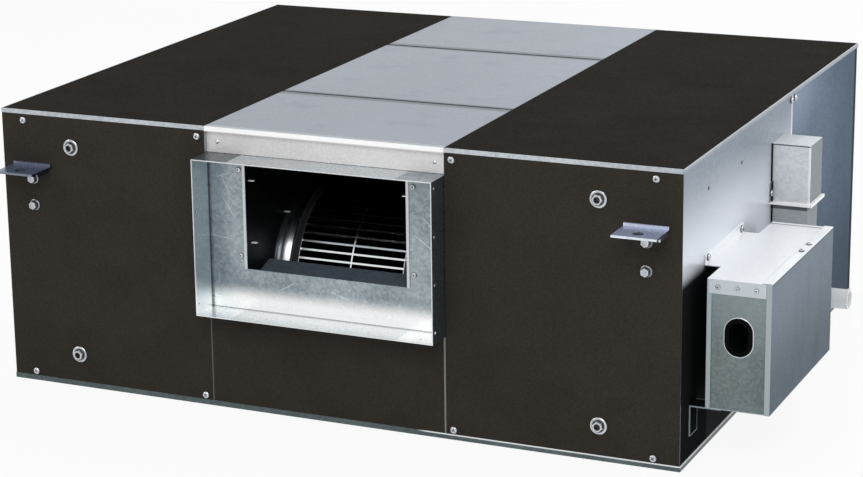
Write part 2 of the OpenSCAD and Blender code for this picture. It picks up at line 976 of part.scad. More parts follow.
// Capped header pipes with a hole for every tube, for the socket pipe and for the vent
module water_headers() {
    color("Peru")
        for (row = [0, 1]) {
            y = row > 0 ? row_b + header_shift : row_a - header_shift;
            difference() {
                bar_z([fin_low + 2, fin_high - 2], header_x, y, header_r);
                bar_z([fin_low + 4, fin_high - 4], header_x, y, header_r - 1.2);
                for (k = [0 : hairpin_count - 1])
                    bar_x([header_x, header_x + 2 * header_r], row > 0 ? row_b : row_a,
                        fin_low + (k + (row + 1) / 2) * tube_pitch, tube_r + run_fit);
                bar_x([header_x - 2 * header_r, header_x], y, row > 0 ? inlet_z : outlet_z,
                    neck_r + run_fit);
                if (row == 0)
                    bar_x([header_x - 2 * header_r, header_x], y, vent_z, 4 + run_fit);
            }
        }
}

// Brass sockets on pipes from the headers, with a threaded bore facing left
module water_sockets() {
    tip = -half_w - 44;
    color("Goldenrod")
        for (place = [[row_b + header_shift, inlet_z], [row_a - header_shift, outlet_z]])
            difference() {
                union() {
                    bar_x([tip + 28, header_x - 4], place[0], place[1], neck_r);
                    bar_x([tip, tip + 30], place[0], place[1], socket_bore_r + 5);
                }
                bar_x([tip - 1, tip + 22], place[0], place[1], socket_bore_r);
                bar_x([tip, header_x], place[0], place[1], neck_r - 1.5);
            }
}

// Bleed screw on the upper end of the outlet header
module air_vent() {
    color("Goldenrod") {
        bar_x([-half_w - 14, header_x - 6], row_a - header_shift, vent_z, 4);
        bar_x([-half_w - 24, -half_w - 12], row_a - header_shift, vent_z, 7);
    }
}

module drain_pan() {
    color("LightGray")
        difference() {
            block([-pan_half, pan_half], [pan_front, pan_rear], [pan_floor, pan_high]);
            block([-pan_half + sheet, pan_half - sheet], [pan_front + sheet, pan_rear - sheet],
                [pan_floor + sheet, pan_high + 1]);
            bar_x([pan_half - 3, pan_half + 1], spigot_y, spigot_z, spigot_r + shank_fit);
        }
}

// Two foam strips that carry the drain pan
module drain_pads() {
    color("White")
        for (y = [pan_front + 8, pan_rear - 38])
            block([-pan_half + 4, pan_half - 4], [y, y + 30], [sheet, pan_floor]);
}

// Pipe through the casing wall and the pan, with a shoulder on the wall
module drain_spigot() {
    color("White")
        difference() {
            union() {
                bar_x([pan_half - sheet - 2, wall_out + spigot_out], spigot_y, spigot_z, spigot_r);
                bar_x([wall_out, wall_out + 3], spigot_y, spigot_z, spigot_r + 4);
            }
            bar_x([pan_half - 10, wall_out + spigot_out + 1], spigot_y, spigot_z, spigot_r - 2.5);
        }
}

// Electric box

// Back, bottom and rear end in one bent piece, with a strip turned over the front end
module box_tray() {
    color("SlateGray") {
        block([box_in, box_in + sheet], [box_front, box_rear], [box_z, box_top_z - 2 * sheet]);
        block([box_in, box_out - sheet], [box_front + sheet, box_rear], [box_z, box_z + sheet]);
        block([box_in, box_out - sheet], [box_rear - sheet, box_rear], [box_z, box_top_z - 2 * sheet]);
        block([box_in, box_in + 6], [box_front, box_front + sheet], [box_z, box_top_z - 20 - gap]);
    }
}

module box_end_plate() {
    y = box_front + sheet;
    color("SlateGray")
        difference() {
            block([box_in + sheet, box_out - sheet], [y, y + sheet],
                [box_z + sheet, box_top_z - 2 * sheet]);
            translate([entry_x, y + sheet + 1, entry_z])
                rotate([90, 0, 0])
                    linear_extrude(height = sheet + 2)
                        oval(entry_w, entry_h);
            for (k = [-1 : 1])
                bar_y([y - 1, y + sheet + 1], entry_x - 3 + k * 25, box_top_z - 11, screw_r + shank_fit);
        }
}

// Top plate with a lip over the front end and a tab that turns up on the casing wall
module box_top() {
    high = box_top_z - sheet;
    color("Gainsboro")
        difference() {
            union() {
                block([box_in, box_out - sheet], [box_front, box_rear], [high - sheet, high]);
                block([box_in + sheet + gap, box_out - 7 - gap], [box_front, box_front + sheet],
                    [box_top_z - 20, high]);
                block([wall_out, box_in], [tab_front, tab_rear], [high - sheet, high]);
                block([wall_out, wall_out + sheet], [tab_front, tab_rear],
                    [high - sheet, box_top_z + 12]);
            }
            block([box_out - 7 - gap, box_out], [box_front - 1, box_front + sheet + gap],
                [high - 3, high + 1]);
            for (y = tab_screw_y)
                bar_x([wall_out - 1, wall_out + 3], y, box_top_z + 6, screw_r + shank_fit);
            for (k = [-1 : 1])
                bar_y([box_front - 1, box_front + 3], entry_x - 3 + k * 25, box_top_z - 11,
                    screw_r + shank_fit);
            for (y = [box_front + 159, box_front + 194])
                bar_z([high - 3, high + 1], box_out - 7, y, screw_r + shank_fit);
        }
}

// Outer cover with flanges over the top and the front end
module box_cover() {
    color("SlateGray")
        difference() {
            union() {
                block([box_out - sheet, box_out], [box_front, box_rear], [box_z, box_top_z]);
                block([box_out - 12, box_out], [box_front, box_rear], [box_top_z - sheet, box_top_z]);
                block([box_out - 7, box_out], [box_front, box_front + sheet], [box_z, box_top_z]);
            }
            for (y = [box_front + 159, box_front + 194])
                bar_z([box_top_z - 3, box_top_z + 1], box_out - 7, y, screw_r + shank_fit);
        }
}

// Rubber ring in the oval cable entry: a collar in the plate and a rim on each face
module cable_grommet() {
    y = box_front + sheet;
    color([0.08, 0.08, 0.08])
        translate([entry_x, y, entry_z])
            rotate([90, 0, 0])
                difference() {
                    union() {
                        linear_extrude(height = 2)
                            oval(entry_w + 5, entry_h + 5);
                        translate([0, 0, -sheet - 2])
                            linear_extrude(height = 2)
                                oval(entry_w + 5, entry_h + 5);
                        translate([0, 0, -sheet - 1])
                            linear_extrude(height = sheet + 2)
                                oval(entry_w - 2 * run_fit, entry_h - 2 * run_fit);
                    }
                    translate([0, 0, -sheet - 3])
                        linear_extrude(height = sheet + 6)
                            oval(entry_w - 6, entry_h - 6);
                }
}

// Circuit board on four posts from the back of the box
module control_board() {
    color("ForestGreen") {
        block([box_in + 10, box_in + 11.6], [box_front + 40, box_front + 190],
            [box_z + 35, box_z + 150]);
        for (y = [box_front + 46, box_front + 184])
            for (z = [box_z + 41, box_z + 144])
                bar_x([box_in + sheet, box_in + 10.5], y, z, 3);
        for (k = [0 : 2])
            block([box_in + 11.6, box_in + 27], [box_front + 60 + k * 36, box_front + 86 + k * 36],
                [box_z + 100, box_z + 122]);
    }
}

// Row of screw terminals on the floor of the box
module terminal_block() {
    low = box_z + sheet;
    color("Ivory")
        difference() {
            block([box_in + 36, box_in + 62], [box_front + 60, box_front + 172], [low, low + 24]);
            for (k = [0 : 7])
                bar_z([low + 12, low + 25], box_in + 49, box_front + 67 + k * 14, 4);
        }
}

module run_capacitor() {
    low = box_z + sheet;
    color("WhiteSmoke") {
        bar_z([low, low + 92], box_in + 40, box_rear - 50, 20);
        for (y = [-6, 6])
            block([box_in + 37, box_in + 43], [box_rear - 50 + y - 0.5, box_rear - 50 + y + 0.5],
                [low + 92, low + 104]);
    }
}

// Bent support from the casing wall to the underside of the box
module box_bracket() {
    color("Gainsboro") {
        block([wall_out, wall_out + 1.5], [box_front + 2, box_front + 32], [box_z - 42, box_z]);
        block([wall_out, box_in + 20], [box_front + 2, box_front + 32], [box_z - 1.5, box_z]);
    }
}

// Pipe cover on the right side

// Upper half: five-sided box with a rim at its lower edge and an ear for one screw
module pipe_cover_upper() {
    y = [cover_front, cover_front + 60];
    z = [cover_split, cover_high];
    color("Gainsboro")
        difference() {
            union() {
                block([wall_out, half_w + 53], y, z);
                block([wall_out, half_w + 57], [y[0] - 4, y[1] + 4], [z[0] - 4, z[0]]);
                block([wall_out, wall_out + sheet], [y[0] - 14, y[0]], [z[0], z[0] + 28]);
            }
            block([wall_out - 1, half_w + 53 - sheet], [y[0] + sheet, y[1] - sheet],
                [z[0] - 5, z[1] - sheet]);
            bar_x([wall_out - 1, wall_out + 3], cover_screw_y, cover_screw_z, screw_r + shank_fit);
        }
}

// Lower half, a little smaller, that slides up inside the rim
module pipe_cover_lower() {
    y = [cover_front + 4, cover_front + 56];
    color("Gainsboro")
        difference() {
            block([wall_out, half_w + 49], y, [cover_low, cover_split - 4 - gap]);
            block([wall_out - 1, half_w + 49 - sheet], [y[0] + sheet, y[1] - sheet],
                [cover_low + sheet, cover_split]);
        }
}

// Hangers and fasteners

// Angle with a tongue through a slot, a lip on the face, side lips and an inner leg
module hanger(face) {
    difference() {
        union() {
            block([hanger_x - hanger_w / 2, hanger_x + hanger_w / 2],
                [front - hanger_out, panel_back + hanger_t], [hanger_z - hanger_t, hanger_z]);
            block([hanger_x - hanger_w / 2, hanger_x + hanger_w / 2], [face - hanger_t, face],
                [hanger_z - hanger_t, hanger_z + hanger_lip]);
            block([hanger_x - hanger_w / 2, hanger_x + hanger_w / 2],
                [panel_back, panel_back + hanger_t], [leg_low, hanger_z]);
            for (x = [hanger_x - hanger_w / 2, hanger_x + hanger_w / 2 - 2.5])
                block([x, x + 2.5], [front - hanger_out + 14, front - 6],
                    [hanger_z - hanger_t - hanger_rib, hanger_z]);
        }
        bar_z([hanger_z - hanger_t - 1, hanger_z + 1], hanger_x, front - hanger_hole_out, hanger_hole_r);
        for (z = [bolt_low, bolt_high])
            bar_y([panel_back - 1, panel_back + hanger_t + 1], hanger_x, z, bolt_r + shank_fit);
    }
}

module hanger_brackets() {
    color("LightSteelBlue")
        both_sides() {
            hanger(front);
            mirror([0, 1, 0])
                hanger(panel_face);
        }
}

// Sheet screw along Y with its head on the plane y = 0 and its shank behind it
module screw(length) {
    bar_y([-3, 0], 0, 0, screw_head_r);
    bar_y([-0.5, length], 0, 0, screw_r);
}

// Hexagon flange bolt with its nut behind the sheets
module hanger_bolt(face) {
    translate([hanger_x, 0, 0]) {
        bar_y([face - 2, face], 0, 0, 8);
        translate([0, face - 1, 0])
            rotate([90, 0, 0])
                cylinder(h = 7, r = 6.5, $fn = 6);
        bar_y([face - 1, panel_back + hanger_t + 9], 0, 0, bolt_r);
        translate([0, panel_back + hanger_t + 6, 0])
            rotate([90, 0, 0])
                cylinder(h = 6, r = 7.5, $fn = 6);
    }
}

// Hollow-headed bolt on a large washer, with its nut behind the panel
module washer_bolt() {
    difference() {
        union() {
            bar_y([front - 2, front], 0, 0, 11.5);
            translate([0, front - 1, 0])
                rotate([90, 0, 0])
                    cylinder(h = 6.5, r = 8, $fn = 6);
            bar_y([front - 1, panel_back + 9], 0, 0, 5);
            translate([0, panel_back + 7, 0])
                rotate([90, 0, 0])
                    cylinder(h = 7, r = 9, $fn = 6);
        }
        bar_y([front - 9, front - 3], 0, 0, 4);
    }
}

module fasteners() {
    color("WhiteSmoke") {
        both_sides() {
            for (spot = panel_screw_spots)
                translate([spot[0], front, spot[1]])
                    screw(12);
            for (spot = collar_screw_spots)
                translate([spot[0], plate_face, spot[1]])
                    screw(12);
            for (spot = washer_bolts)
                translate([spot[0], 0, spot[1]])
                    washer_bolt();
            for (z = [bolt_low, bolt_high])
                translate([0, 0, z]) {
                    hanger_bolt(front);
                    mirror([0, 1, 0])
                        hanger_bolt(panel_face);
                }
            for (z = rear_screw_z)
                translate([half_w - 9, rear_face, z])
                    mirror([0, 1, 0])
                        screw(12);
            for (z = [14, case_h - 13])
                for (y = [seam_y - 9, seam_y + 9])
                    translate([wall_out, y, z])
                        rotate([0, 0, 90])
                            screw(12);
        }
        for (y = tab_screw_y)
            translate([wall_out + sheet, y, box_top_z + 6])
                rotate([0, 0, 90])
                    screw(12);
        translate([wall_out + sheet, cover_screw_y, cover_screw_z])
            rotate([0, 0, 90])
                screw(12);
        for (k = [-1 : 1])
            translate([entry_x - 3 + k * 25, box_front, box_top_z - 11])
                screw(8);
        for (y = [box_front + 159, box_front + 194])
            translate([box_out - 7, y, box_top_z])
                rotate([-90, 0, 0])
                    screw(8);
    }
}

base_panel();
side_panel_left_front();
side_panel_left_rear();
side_panel_right_front();
side_panel_right_rear();
front_panel_left();
front_panel_right();
front_panel_lower();
front_facing_left();
front_facing_right();
front_facing_lower();
front_fascia();
front_rails();
top_panel_left();
top_panel_right();
top_facing_left();
top_facing_right();
top_centre_front();
top_centre_middle();
top_centre_rear();
return_frame();
duct_collar();
scroll_wrap();
cutoff_tongue();
scroll_side_left();
scroll_side_right();
inlet_bells();
blower_feet();
wheel_blades();
wheel_disc();
wheel_end_rings();
wheel_hub();
motor_shaft();
motor_stator();
motor_shell();
motor_end_bells();
motor_band();
motor_arms();
coil_fins();
coil_tubes();
coil_end_plates();
water_headers();
water_sockets();
air_vent();
drain_pan();
drain_pads();
drain_spigot();
box_tray();
box_end_plate();
box_top();
box_cover();
cable_grommet();
control_board();
terminal_block();
run_capacitor();
box_bracket();
pipe_cover_upper();
pipe_cover_lower();
hanger_brackets();
fasteners();
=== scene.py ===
# Ducted fan coil unit: dark faced sheet casing, blower behind a supply collar, water coil, electric box
import math
import bpy
import bmesh
from mathutils import Matrix, Vector


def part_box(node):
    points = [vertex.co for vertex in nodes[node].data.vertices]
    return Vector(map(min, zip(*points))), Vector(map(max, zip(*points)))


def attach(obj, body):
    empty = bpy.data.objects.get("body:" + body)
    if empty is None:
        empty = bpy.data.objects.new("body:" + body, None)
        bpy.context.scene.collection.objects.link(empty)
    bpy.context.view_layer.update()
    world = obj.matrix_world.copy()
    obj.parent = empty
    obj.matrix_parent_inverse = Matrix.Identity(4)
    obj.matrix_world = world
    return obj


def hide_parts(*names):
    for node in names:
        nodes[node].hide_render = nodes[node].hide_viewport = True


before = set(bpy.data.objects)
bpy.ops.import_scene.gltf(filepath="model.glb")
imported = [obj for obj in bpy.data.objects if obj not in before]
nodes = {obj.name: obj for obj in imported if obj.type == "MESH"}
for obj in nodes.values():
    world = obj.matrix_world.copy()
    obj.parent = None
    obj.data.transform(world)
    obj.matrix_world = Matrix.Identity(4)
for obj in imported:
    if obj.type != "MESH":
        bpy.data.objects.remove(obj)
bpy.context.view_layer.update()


# Base pan and side walls
# The pan and the four wall plates are cut and folded from 1.2 mm galvanised steel, lapped and screwed.
# Zinc leaves faint crystals, cloudy tone and the rubs of handling on them; the right wall plates and the base
# rail also carry painted reflections, highlights and shade.

def srgb(red, green, blue):
    """A colour as it is seen, in levels of 255, for a linear socket."""
    parts = []
    for level in (red, green, blue):
        part = level / 255
        parts.append(part / 12.92 if part <= 0.04045 else ((part + 0.055) / 1.055) ** 2.4)
    return (*parts, 1)


def put(tree, kind, settings=None, values=None):
    """A new node with its settings and the values of its open sockets."""
    made = tree.nodes.new(kind)
    for key, value in (settings or {}).items():
        setattr(made, key, value)
    for key, value in (values or {}).items():
        made.inputs[key].default_value = value
    return made


def join(start, end):
    start.id_data.links.new(start, end)


def feed(made, slot, value):
    """Links a socket, or sets a plain number or colour on the slot."""
    if isinstance(value, (int, float, tuple)):
        made.inputs[slot].default_value = value
    else:
        join(value, made.inputs[slot])


def sum_of(kind, first, second=0.0):
    """Result of one Math node on sockets or plain numbers."""
    owner = second if isinstance(first, (int, float)) else first
    made = put(owner.id_data, "ShaderNodeMath", {"operation": kind})
    feed(made, 0, first)
    feed(made, 1, second)
    return made.outputs[0]


def spread(value, start, end, full=1.0, none=0.0):
    """Rises smoothly from none at start to full at end; start may lie above end."""
    made = put(value.id_data, "ShaderNodeMapRange", {"interpolation_type": "SMOOTHSTEP"},
               {"From Min": start, "From Max": end, "To Min": none, "To Max": full})
    join(value, made.inputs["Value"])
    return made.outputs[0]


def blend_colours(factor, first, second):
    made = put(factor.id_data, "ShaderNodeMix", {"data_type": "RGBA"})
    join(factor, made.inputs[0])
    feed(made, 6, first)
    feed(made, 7, second)
    return made.outputs[2]


def new_effect(name, inputs, outputs):
    """A shader node group with named sockets, and its two ends."""
    tree = bpy.data.node_groups.new(name, "ShaderNodeTree")
    for label, kind, value in inputs:
        socket = tree.interface.new_socket(name=label, in_out="INPUT", socket_type=kind)
        if value is not None:
            socket.default_value = value
    for label, kind in outputs:
        tree.interface.new_socket(name=label, in_out="OUTPUT", socket_type=kind)
    return tree, tree.nodes.new("NodeGroupInput"), tree.nodes.new("NodeGroupOutput")


def noise(vector, scale, detail, rough=0.5):
    made = put(vector.id_data, "ShaderNodeTexNoise", None,
               {"Scale": scale, "Detail": detail, "Roughness": rough})
    join(vector, made.inputs["Vector"])
    return made.outputs[0]


def stretched(vector, turn, scale):
    """Coordinates turned and scaled, for a pattern that runs along one way."""
    made = put(vector.id_data, "ShaderNodeMapping", None, {"Rotation": turn, "Scale": scale})
    join(vector, made.inputs["Vector"])
    return made.outputs[0]


zinc_spangle, spangle_in, spangle_out = new_effect(
    "zinc_spangle",
    [("Vector", "NodeSocketVector", None), ("Crystals", "NodeSocketFloat", 260.0),
     ("Cloud", "NodeSocketFloat", 5.0)],
    [("Tone", "NodeSocketFloat"), ("Height", "NodeSocketFloat"), ("Sheen", "NodeSocketFloat")])
crystal_wobble = put(zinc_spangle, "ShaderNodeTexNoise", None, {"Scale": 90.0, "Detail": 2.0})
join(spangle_in.outputs["Vector"], crystal_wobble.inputs["Vector"])
wobble_size = put(zinc_spangle, "ShaderNodeVectorMath", {"operation": "SCALE"}, {"Scale": 0.002})
join(crystal_wobble.outputs[1], wobble_size.inputs[0])
wobbled = put(zinc_spangle, "ShaderNodeVectorMath", {"operation": "ADD"})
join(spangle_in.outputs["Vector"], wobbled.inputs[0])
join(wobble_size.outputs[0], wobbled.inputs[1])
crystals = put(zinc_spangle, "ShaderNodeTexVoronoi")
join(wobbled.outputs[0], crystals.inputs["Vector"])
join(spangle_in.outputs["Crystals"], crystals.inputs["Scale"])
crystal_parts = put(zinc_spangle, "ShaderNodeSeparateColor")
join(crystals.outputs["Color"], crystal_parts.inputs[0])
zinc_fine = noise(spangle_in.outputs["Vector"], 700.0, 2.0)
zinc_cloud = put(zinc_spangle, "ShaderNodeTexNoise", None, {"Detail": 5.0, "Roughness": 0.55})
join(spangle_in.outputs["Vector"], zinc_cloud.inputs["Vector"])
join(spangle_in.outputs["Cloud"], zinc_cloud.inputs["Scale"])
zinc_tone = spread(zinc_cloud.outputs[0], 0.3, 0.7, 0.85, 0.15)
zinc_tone = sum_of("ADD", zinc_tone, spread(crystal_parts.outputs[0], 0.0, 1.0, 0.28, -0.28))
zinc_tone = sum_of("ADD", zinc_tone, spread(zinc_fine, 0.2, 0.8, 0.2, -0.2))
join(zinc_tone, spangle_out.inputs["Tone"])
join(sum_of("ADD", sum_of("MULTIPLY", crystal_parts.outputs[1], 0.6), zinc_fine),
     spangle_out.inputs["Height"])
join(crystal_parts.outputs[2], spangle_out.inputs["Sheen"])

handling_marks, marks_in, marks_out = new_effect(
    "handling_marks",
    [("Vector", "NodeSocketVector", None)],
    [("Scratch", "NodeSocketFloat"), ("Smudge", "NodeSocketFloat")])
marks_patch = spread(noise(marks_in.outputs[0], 9.0, 3.0), 0.5, 0.66)
scratch_lines = []
for turn, scale in (((0.5, 0.3, 0.2), (6.0, 6.0, 420.0)), ((-0.35, 0.9, 0.6), (8.0, 380.0, 8.0))):
    along = stretched(marks_in.outputs[0], turn, scale)
    scratch_lines.append(spread(noise(along, 1.0, 1.0), 0.70, 0.75))
both_lines = sum_of("MAXIMUM", *scratch_lines)
join(sum_of("MULTIPLY", both_lines, marks_patch), marks_out.inputs["Scratch"])
smudge = noise(stretched(marks_in.outputs[0], (0.2, 0.1, 0.0), (1.0, 1.0, 0.5)), 16.0, 4.0, 0.6)
join(spread(smudge, 0.52, 0.72), marks_out.inputs["Smudge"])


def shader_of(material):
    return material.node_tree.nodes["Principled BSDF"]


def new_material(name):
    """A new material, its shader and its Object coordinates."""
    made = bpy.data.materials.new(name)
    made.use_nodes = True
    return made, shader_of(made), put(made.node_tree, "ShaderNodeTexCoord").outputs["Object"]


def effect_at(place, effect, values=None):
    """Outputs of a shared effect set in a material at the given coordinates."""
    made = put(place.id_data, "ShaderNodeGroup", {"node_tree": effect}, values)
    join(place, made.inputs["Vector"])
    return made.outputs


def raise_grain(shader, height, strength, depth):
    """Fine relief of a finish."""
    rise = put(shader.id_data, "ShaderNodeBump", None, {"Strength": strength, "Distance": depth})
    join(height, rise.inputs["Height"])
    join(rise.outputs[0], shader.inputs["Normal"])


def scaled(colour, factor, lift=0.0):
    """A darker or brighter form of a colour."""
    return tuple(min(1.0, part * factor + lift) for part in colour[:3]) + (1,)


def sheet_finish(name, low, high, rough, metallic,
                 crystals=260.0, cloud=5.0, scratched=0.5, bump=0.04, sheen=0.08):
    """Zinc coated sheet: crystals and cloud between two colours, light scratches, darker smudges."""
    made, shader, place = new_material(name)
    zinc = effect_at(place, zinc_spangle, {"Crystals": crystals, "Cloud": cloud})
    marks = effect_at(place, handling_marks)
    colour = blend_colours(zinc["Tone"], low, high)
    colour = blend_colours(sum_of("MULTIPLY", marks["Scratch"], scratched), colour,
                           scaled(high, 1.35, 0.05))
    colour = blend_colours(sum_of("MULTIPLY", marks["Smudge"], 0.35 * scratched), colour, scaled(low, 0.72))
    join(colour, shader.inputs["Base Color"])
    gloss = sum_of("ADD", sum_of("MULTIPLY", zinc["Sheen"], sheen), rough - sheen / 2)
    gloss = sum_of("ADD", gloss, sum_of("MULTIPLY", marks["Smudge"], sheen))
    join(gloss, shader.inputs["Roughness"])
    shader.inputs["Metallic"].default_value = metallic
    raise_grain(shader, zinc["Height"], bump, 0.0004)
    return made


def dress(material, *names):
    """Gives the solids of these nodes their finish."""
    for name in names:
        slots = nodes[name].data.materials
        if not slots:
            slots.append(material)
        for index in range(len(slots)):
            slots[index] = material


def axes_of(material, kind):
    """X, Y and Z of a material's Object or Normal coordinates."""
    made = put(material.node_tree, "ShaderNodeSeparateXYZ")
    join(put(material.node_tree, "ShaderNodeTexCoord").outputs[kind], made.inputs[0])
    return tuple(made.outputs)


def faces(material, axis, way=1, full=1.0):
    """Mask of the faces that look along an axis: 0, 1, 2 for X, Y, Z, with way 1 or -1."""
    return spread(axes_of(material, "Normal")[axis], 0.5 * way, 0.6 * way, full)


def both(*masks):
    """Mask of the places that all masks share."""
    whole = masks[0]
    for mask in masks[1:]:
        whole = sum_of("MULTIPLY", whole, mask)
    return whole


def set_specular(material, level):
    shader_of(material).inputs["Specular IOR Level"].default_value = level


def lay_over(material, mask, colour):
    """Lets a second tone show over a finish where the mask is one."""
    base = shader_of(material).inputs["Base Color"]
    join(blend_colours(mask, base.links[0].from_socket, colour), base)


def dull_where(material, mask):
    """Takes the metal out of a finish where the mask is one, so that a shaded place stays dark."""
    metallic = shader_of(material).inputs["Metallic"]
    join(sum_of("MULTIPLY", sum_of("SUBTRACT", 1.0, mask), metallic.default_value), metallic)


wall_zinc = sheet_finish("wall_zinc", srgb(156, 164, 172), srgb(184, 190, 197), 0.26, 0.85, scratched=0.3)
dress(wall_zinc, "side_panel_left_front", "side_panel_left_rear")

front_wall_zinc = sheet_finish("front_wall_zinc", srgb(130, 139, 151), srgb(146, 155, 167), 0.3, 0.45,
                               cloud=3.0, scratched=0.0, bump=0.008, sheen=0.01)
wall_y, wall_z = axes_of(front_wall_zinc, "Object")[1:]
# Grey along the top and a painted pale reflection below, a painted highlight line at the seam, and painted
# shade, near black, by the box and low at the front.
lay_over(front_wall_zinc, spread(wall_z, 0.386, 0.262, 0.9), srgb(234, 238, 245))
shade_by_box = both(spread(wall_z, 0.262, 0.24, 0.99), spread(wall_y, -0.19, -0.32))
shade_by_foot = both(spread(wall_z, 0.125, 0.07, 0.97), spread(wall_y, 0.02, -0.14))
wall_painted_shade = sum_of("MAXIMUM", shade_by_box, shade_by_foot)
seam_highlight = both(spread(wall_y, 0.0585, 0.0615, 0.55), spread(wall_z, 0.3, 0.34))
lay_over(front_wall_zinc, seam_highlight, srgb(244, 246, 250))
lay_over(front_wall_zinc, wall_painted_shade, srgb(8, 12, 12))
dull_where(front_wall_zinc, wall_painted_shade)
set_specular(front_wall_zinc, 0.0)
dress(front_wall_zinc, "side_panel_right_front")

# The rear panel's darker blue-grey base is painted shade, a darker copy of the wall zinc.
rear_wall_shaded_zinc = sheet_finish("rear_wall_shaded_zinc", srgb(84, 99, 117), srgb(106, 121, 138), 0.3, 0.1, cloud=7.0,
                              scratched=0.0, bump=0.008, sheen=0.01)
set_specular(rear_wall_shaded_zinc, 0.0)
wall_y, wall_z = axes_of(rear_wall_shaded_zinc, "Object")[1:]
# Painted shade darker towards the foot and the rear, a painted paler reflection high up by the seam, and a
# painted shade line at the rear fold.
lay_over(rear_wall_shaded_zinc, spread(wall_z, 0.26, 0.06, 0.6), srgb(54, 66, 77))
seam_painted_light = both(spread(wall_z, 0.28, 0.4, 0.7), spread(wall_y, 0.3, 0.07))
lay_over(rear_wall_shaded_zinc, seam_painted_light, srgb(148, 162, 181))
lay_over(rear_wall_shaded_zinc, spread(wall_y, 0.18, 0.4, 0.45), srgb(62, 74, 90))
lay_over(rear_wall_shaded_zinc, spread(wall_y, 0.408, 0.414, 0.9), srgb(34, 42, 45))
dress(rear_wall_shaded_zinc, "side_panel_right_rear")

# The base rail's dark teal is painted shade on the galvanised steel, with a painted highlight along the top
# of its lip at the right.
base_shaded_zinc = sheet_finish("base_shaded_zinc", srgb(62, 75, 76), srgb(86, 99, 100), 0.4, 0.25, cloud=9.0,
                         scratched=0.2, bump=0.02, sheen=0.02)
base_x, base_z = axes_of(base_shaded_zinc, "Object")[::2]
lip_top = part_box("base_panel")[1].z
lip_highlight = both(spread(base_z, lip_top - 0.002, lip_top - 0.0015, 0.95), spread(base_x, 0.13, 0.15))
lay_over(base_shaded_zinc, lip_highlight, srgb(236, 239, 240))
dress(base_shaded_zinc, "base_panel")


# Return frame, front pans, rails and top pans
# The sheets behind the facings and the rear frame with its duct flange, in the same steel but less handled.
# Only their folded edges show at the front; the rear frame shows whole from behind.

pan_zinc = sheet_finish("pan_zinc", srgb(168, 175, 182), srgb(198, 203, 208), 0.32, 0.8, crystals=280.0,
                        scratched=0.25)
pan_x, pan_z = axes_of(pan_zinc, "Object")[::2]
pan_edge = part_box("top_panel_right")[1]
# Painted shade on the outer side lip of the right top pan, darker towards its foot.
side_lip = spread(pan_x, pan_edge.x - 0.0015, pan_edge.x - 0.0005, 0.8)
lay_over(pan_zinc, both(side_lip, spread(pan_z, pan_edge.z, pan_edge.z - 0.005, 1.0, 0.3)),
         srgb(118, 128, 139))
dress(pan_zinc, "return_frame", "front_panel_left", "front_panel_right", "front_panel_lower", "front_rails",
      "top_panel_left", "top_panel_right")


# Dark facing sheets on the front and the top
# Thin sheets with a brown-black baked coat that has a fine, dry grain; glued and screwed over the steel pans.
# The coat carries pale specks of dust, and the lower front sheet shows pale seams at its two ends.

coat_grain, grain_in, grain_out = new_effect(
    "coat_grain",
    [("Vector", "NodeSocketVector", None), ("Grain", "NodeSocketFloat", 900.0)],
    [("Tone", "NodeSocketFloat"), ("Height", "NodeSocketFloat"), ("Speck", "NodeSocketFloat")])
grain_fine = put(coat_grain, "ShaderNodeTexNoise", None, {"Detail": 3.0, "Roughness": 0.7})
join(grain_in.outputs["Vector"], grain_fine.inputs["Vector"])
join(grain_in.outputs["Grain"], grain_fine.inputs["Scale"])
grain_broad = noise(grain_in.outputs["Vector"], 14.0, 4.0)
join(sum_of("ADD", spread(grain_fine.outputs[0], 0.3, 0.7, 0.75), spread(grain_broad, 0.3, 0.7, 0.25)),
     grain_out.inputs["Tone"])
join(grain_fine.outputs[0], grain_out.inputs["Height"])
speck_cells = put(coat_grain, "ShaderNodeTexVoronoi", None, {"Scale": 130.0})
join(grain_in.outputs["Vector"], speck_cells.inputs["Vector"])
join(spread(speck_cells.outputs["Distance"], 0.04, 0.09, 0.0, 1.0), grain_out.inputs["Speck"])


def coated_finish(name, low, high, rough, grain=900.0, bump=0.25, speck=0.2):
    """Painted or moulded skin: fine grain between two colours, rare pale specks, grainy bump."""
    made, shader, place = new_material(name)
    coat = effect_at(place, coat_grain, {"Grain": grain})
    colour = blend_colours(coat["Tone"], low, high)
    colour = blend_colours(sum_of("MULTIPLY", coat["Speck"], speck), colour, scaled(high, 1.8, 0.015))
    join(colour, shader.inputs["Base Color"])
    join(sum_of("ADD", sum_of("MULTIPLY", coat["Tone"], 0.14), rough - 0.07), shader.inputs["Roughness"])
    raise_grain(shader, coat["Height"], bump, 0.0003)
    return made


dark_coat = coated_finish("dark_coat", srgb(42, 39, 34), srgb(58, 54, 49), 0.86, grain=700.0)
set_specular(dark_coat, 0.05)
# The top facings take a darker copy of the coat: painted shade that keeps them as dark as the front.
dark_top_coat = coated_finish("dark_top_coat", srgb(18, 16, 13), srgb(46, 43, 38), 0.88, grain=300.0,
                              speck=0.1)
set_specular(dark_top_coat, 0.03)
dress(dark_coat, "front_facing_left", "front_facing_right")
lower_coat = dark_coat.copy()
lower_coat.name = "lower_coat"
seam_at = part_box("front_facing_lower")[1].x
seam_x = axes_of(lower_coat, "Object")[0]
lay_over(lower_coat, spread(seam_x, seam_at - 0.0026, seam_at - 0.0021, 0.95), srgb(128, 129, 124))
lay_over(lower_coat, spread(seam_x, 0.0021 - seam_at, 0.0016 - seam_at, 0.9), srgb(98, 99, 98))
dress(lower_coat, "front_facing_lower")
dress(dark_top_coat, "top_facing_left", "top_facing_right")


# Fascia over the outlet
# A bright skin-passed steel strip, recessed above the collar and folded forward over the top edge.
# It is smooth, with faint rolling lines and cloud; the top of its fold carries painted shade and the front of
# the fold a painted highlight line.

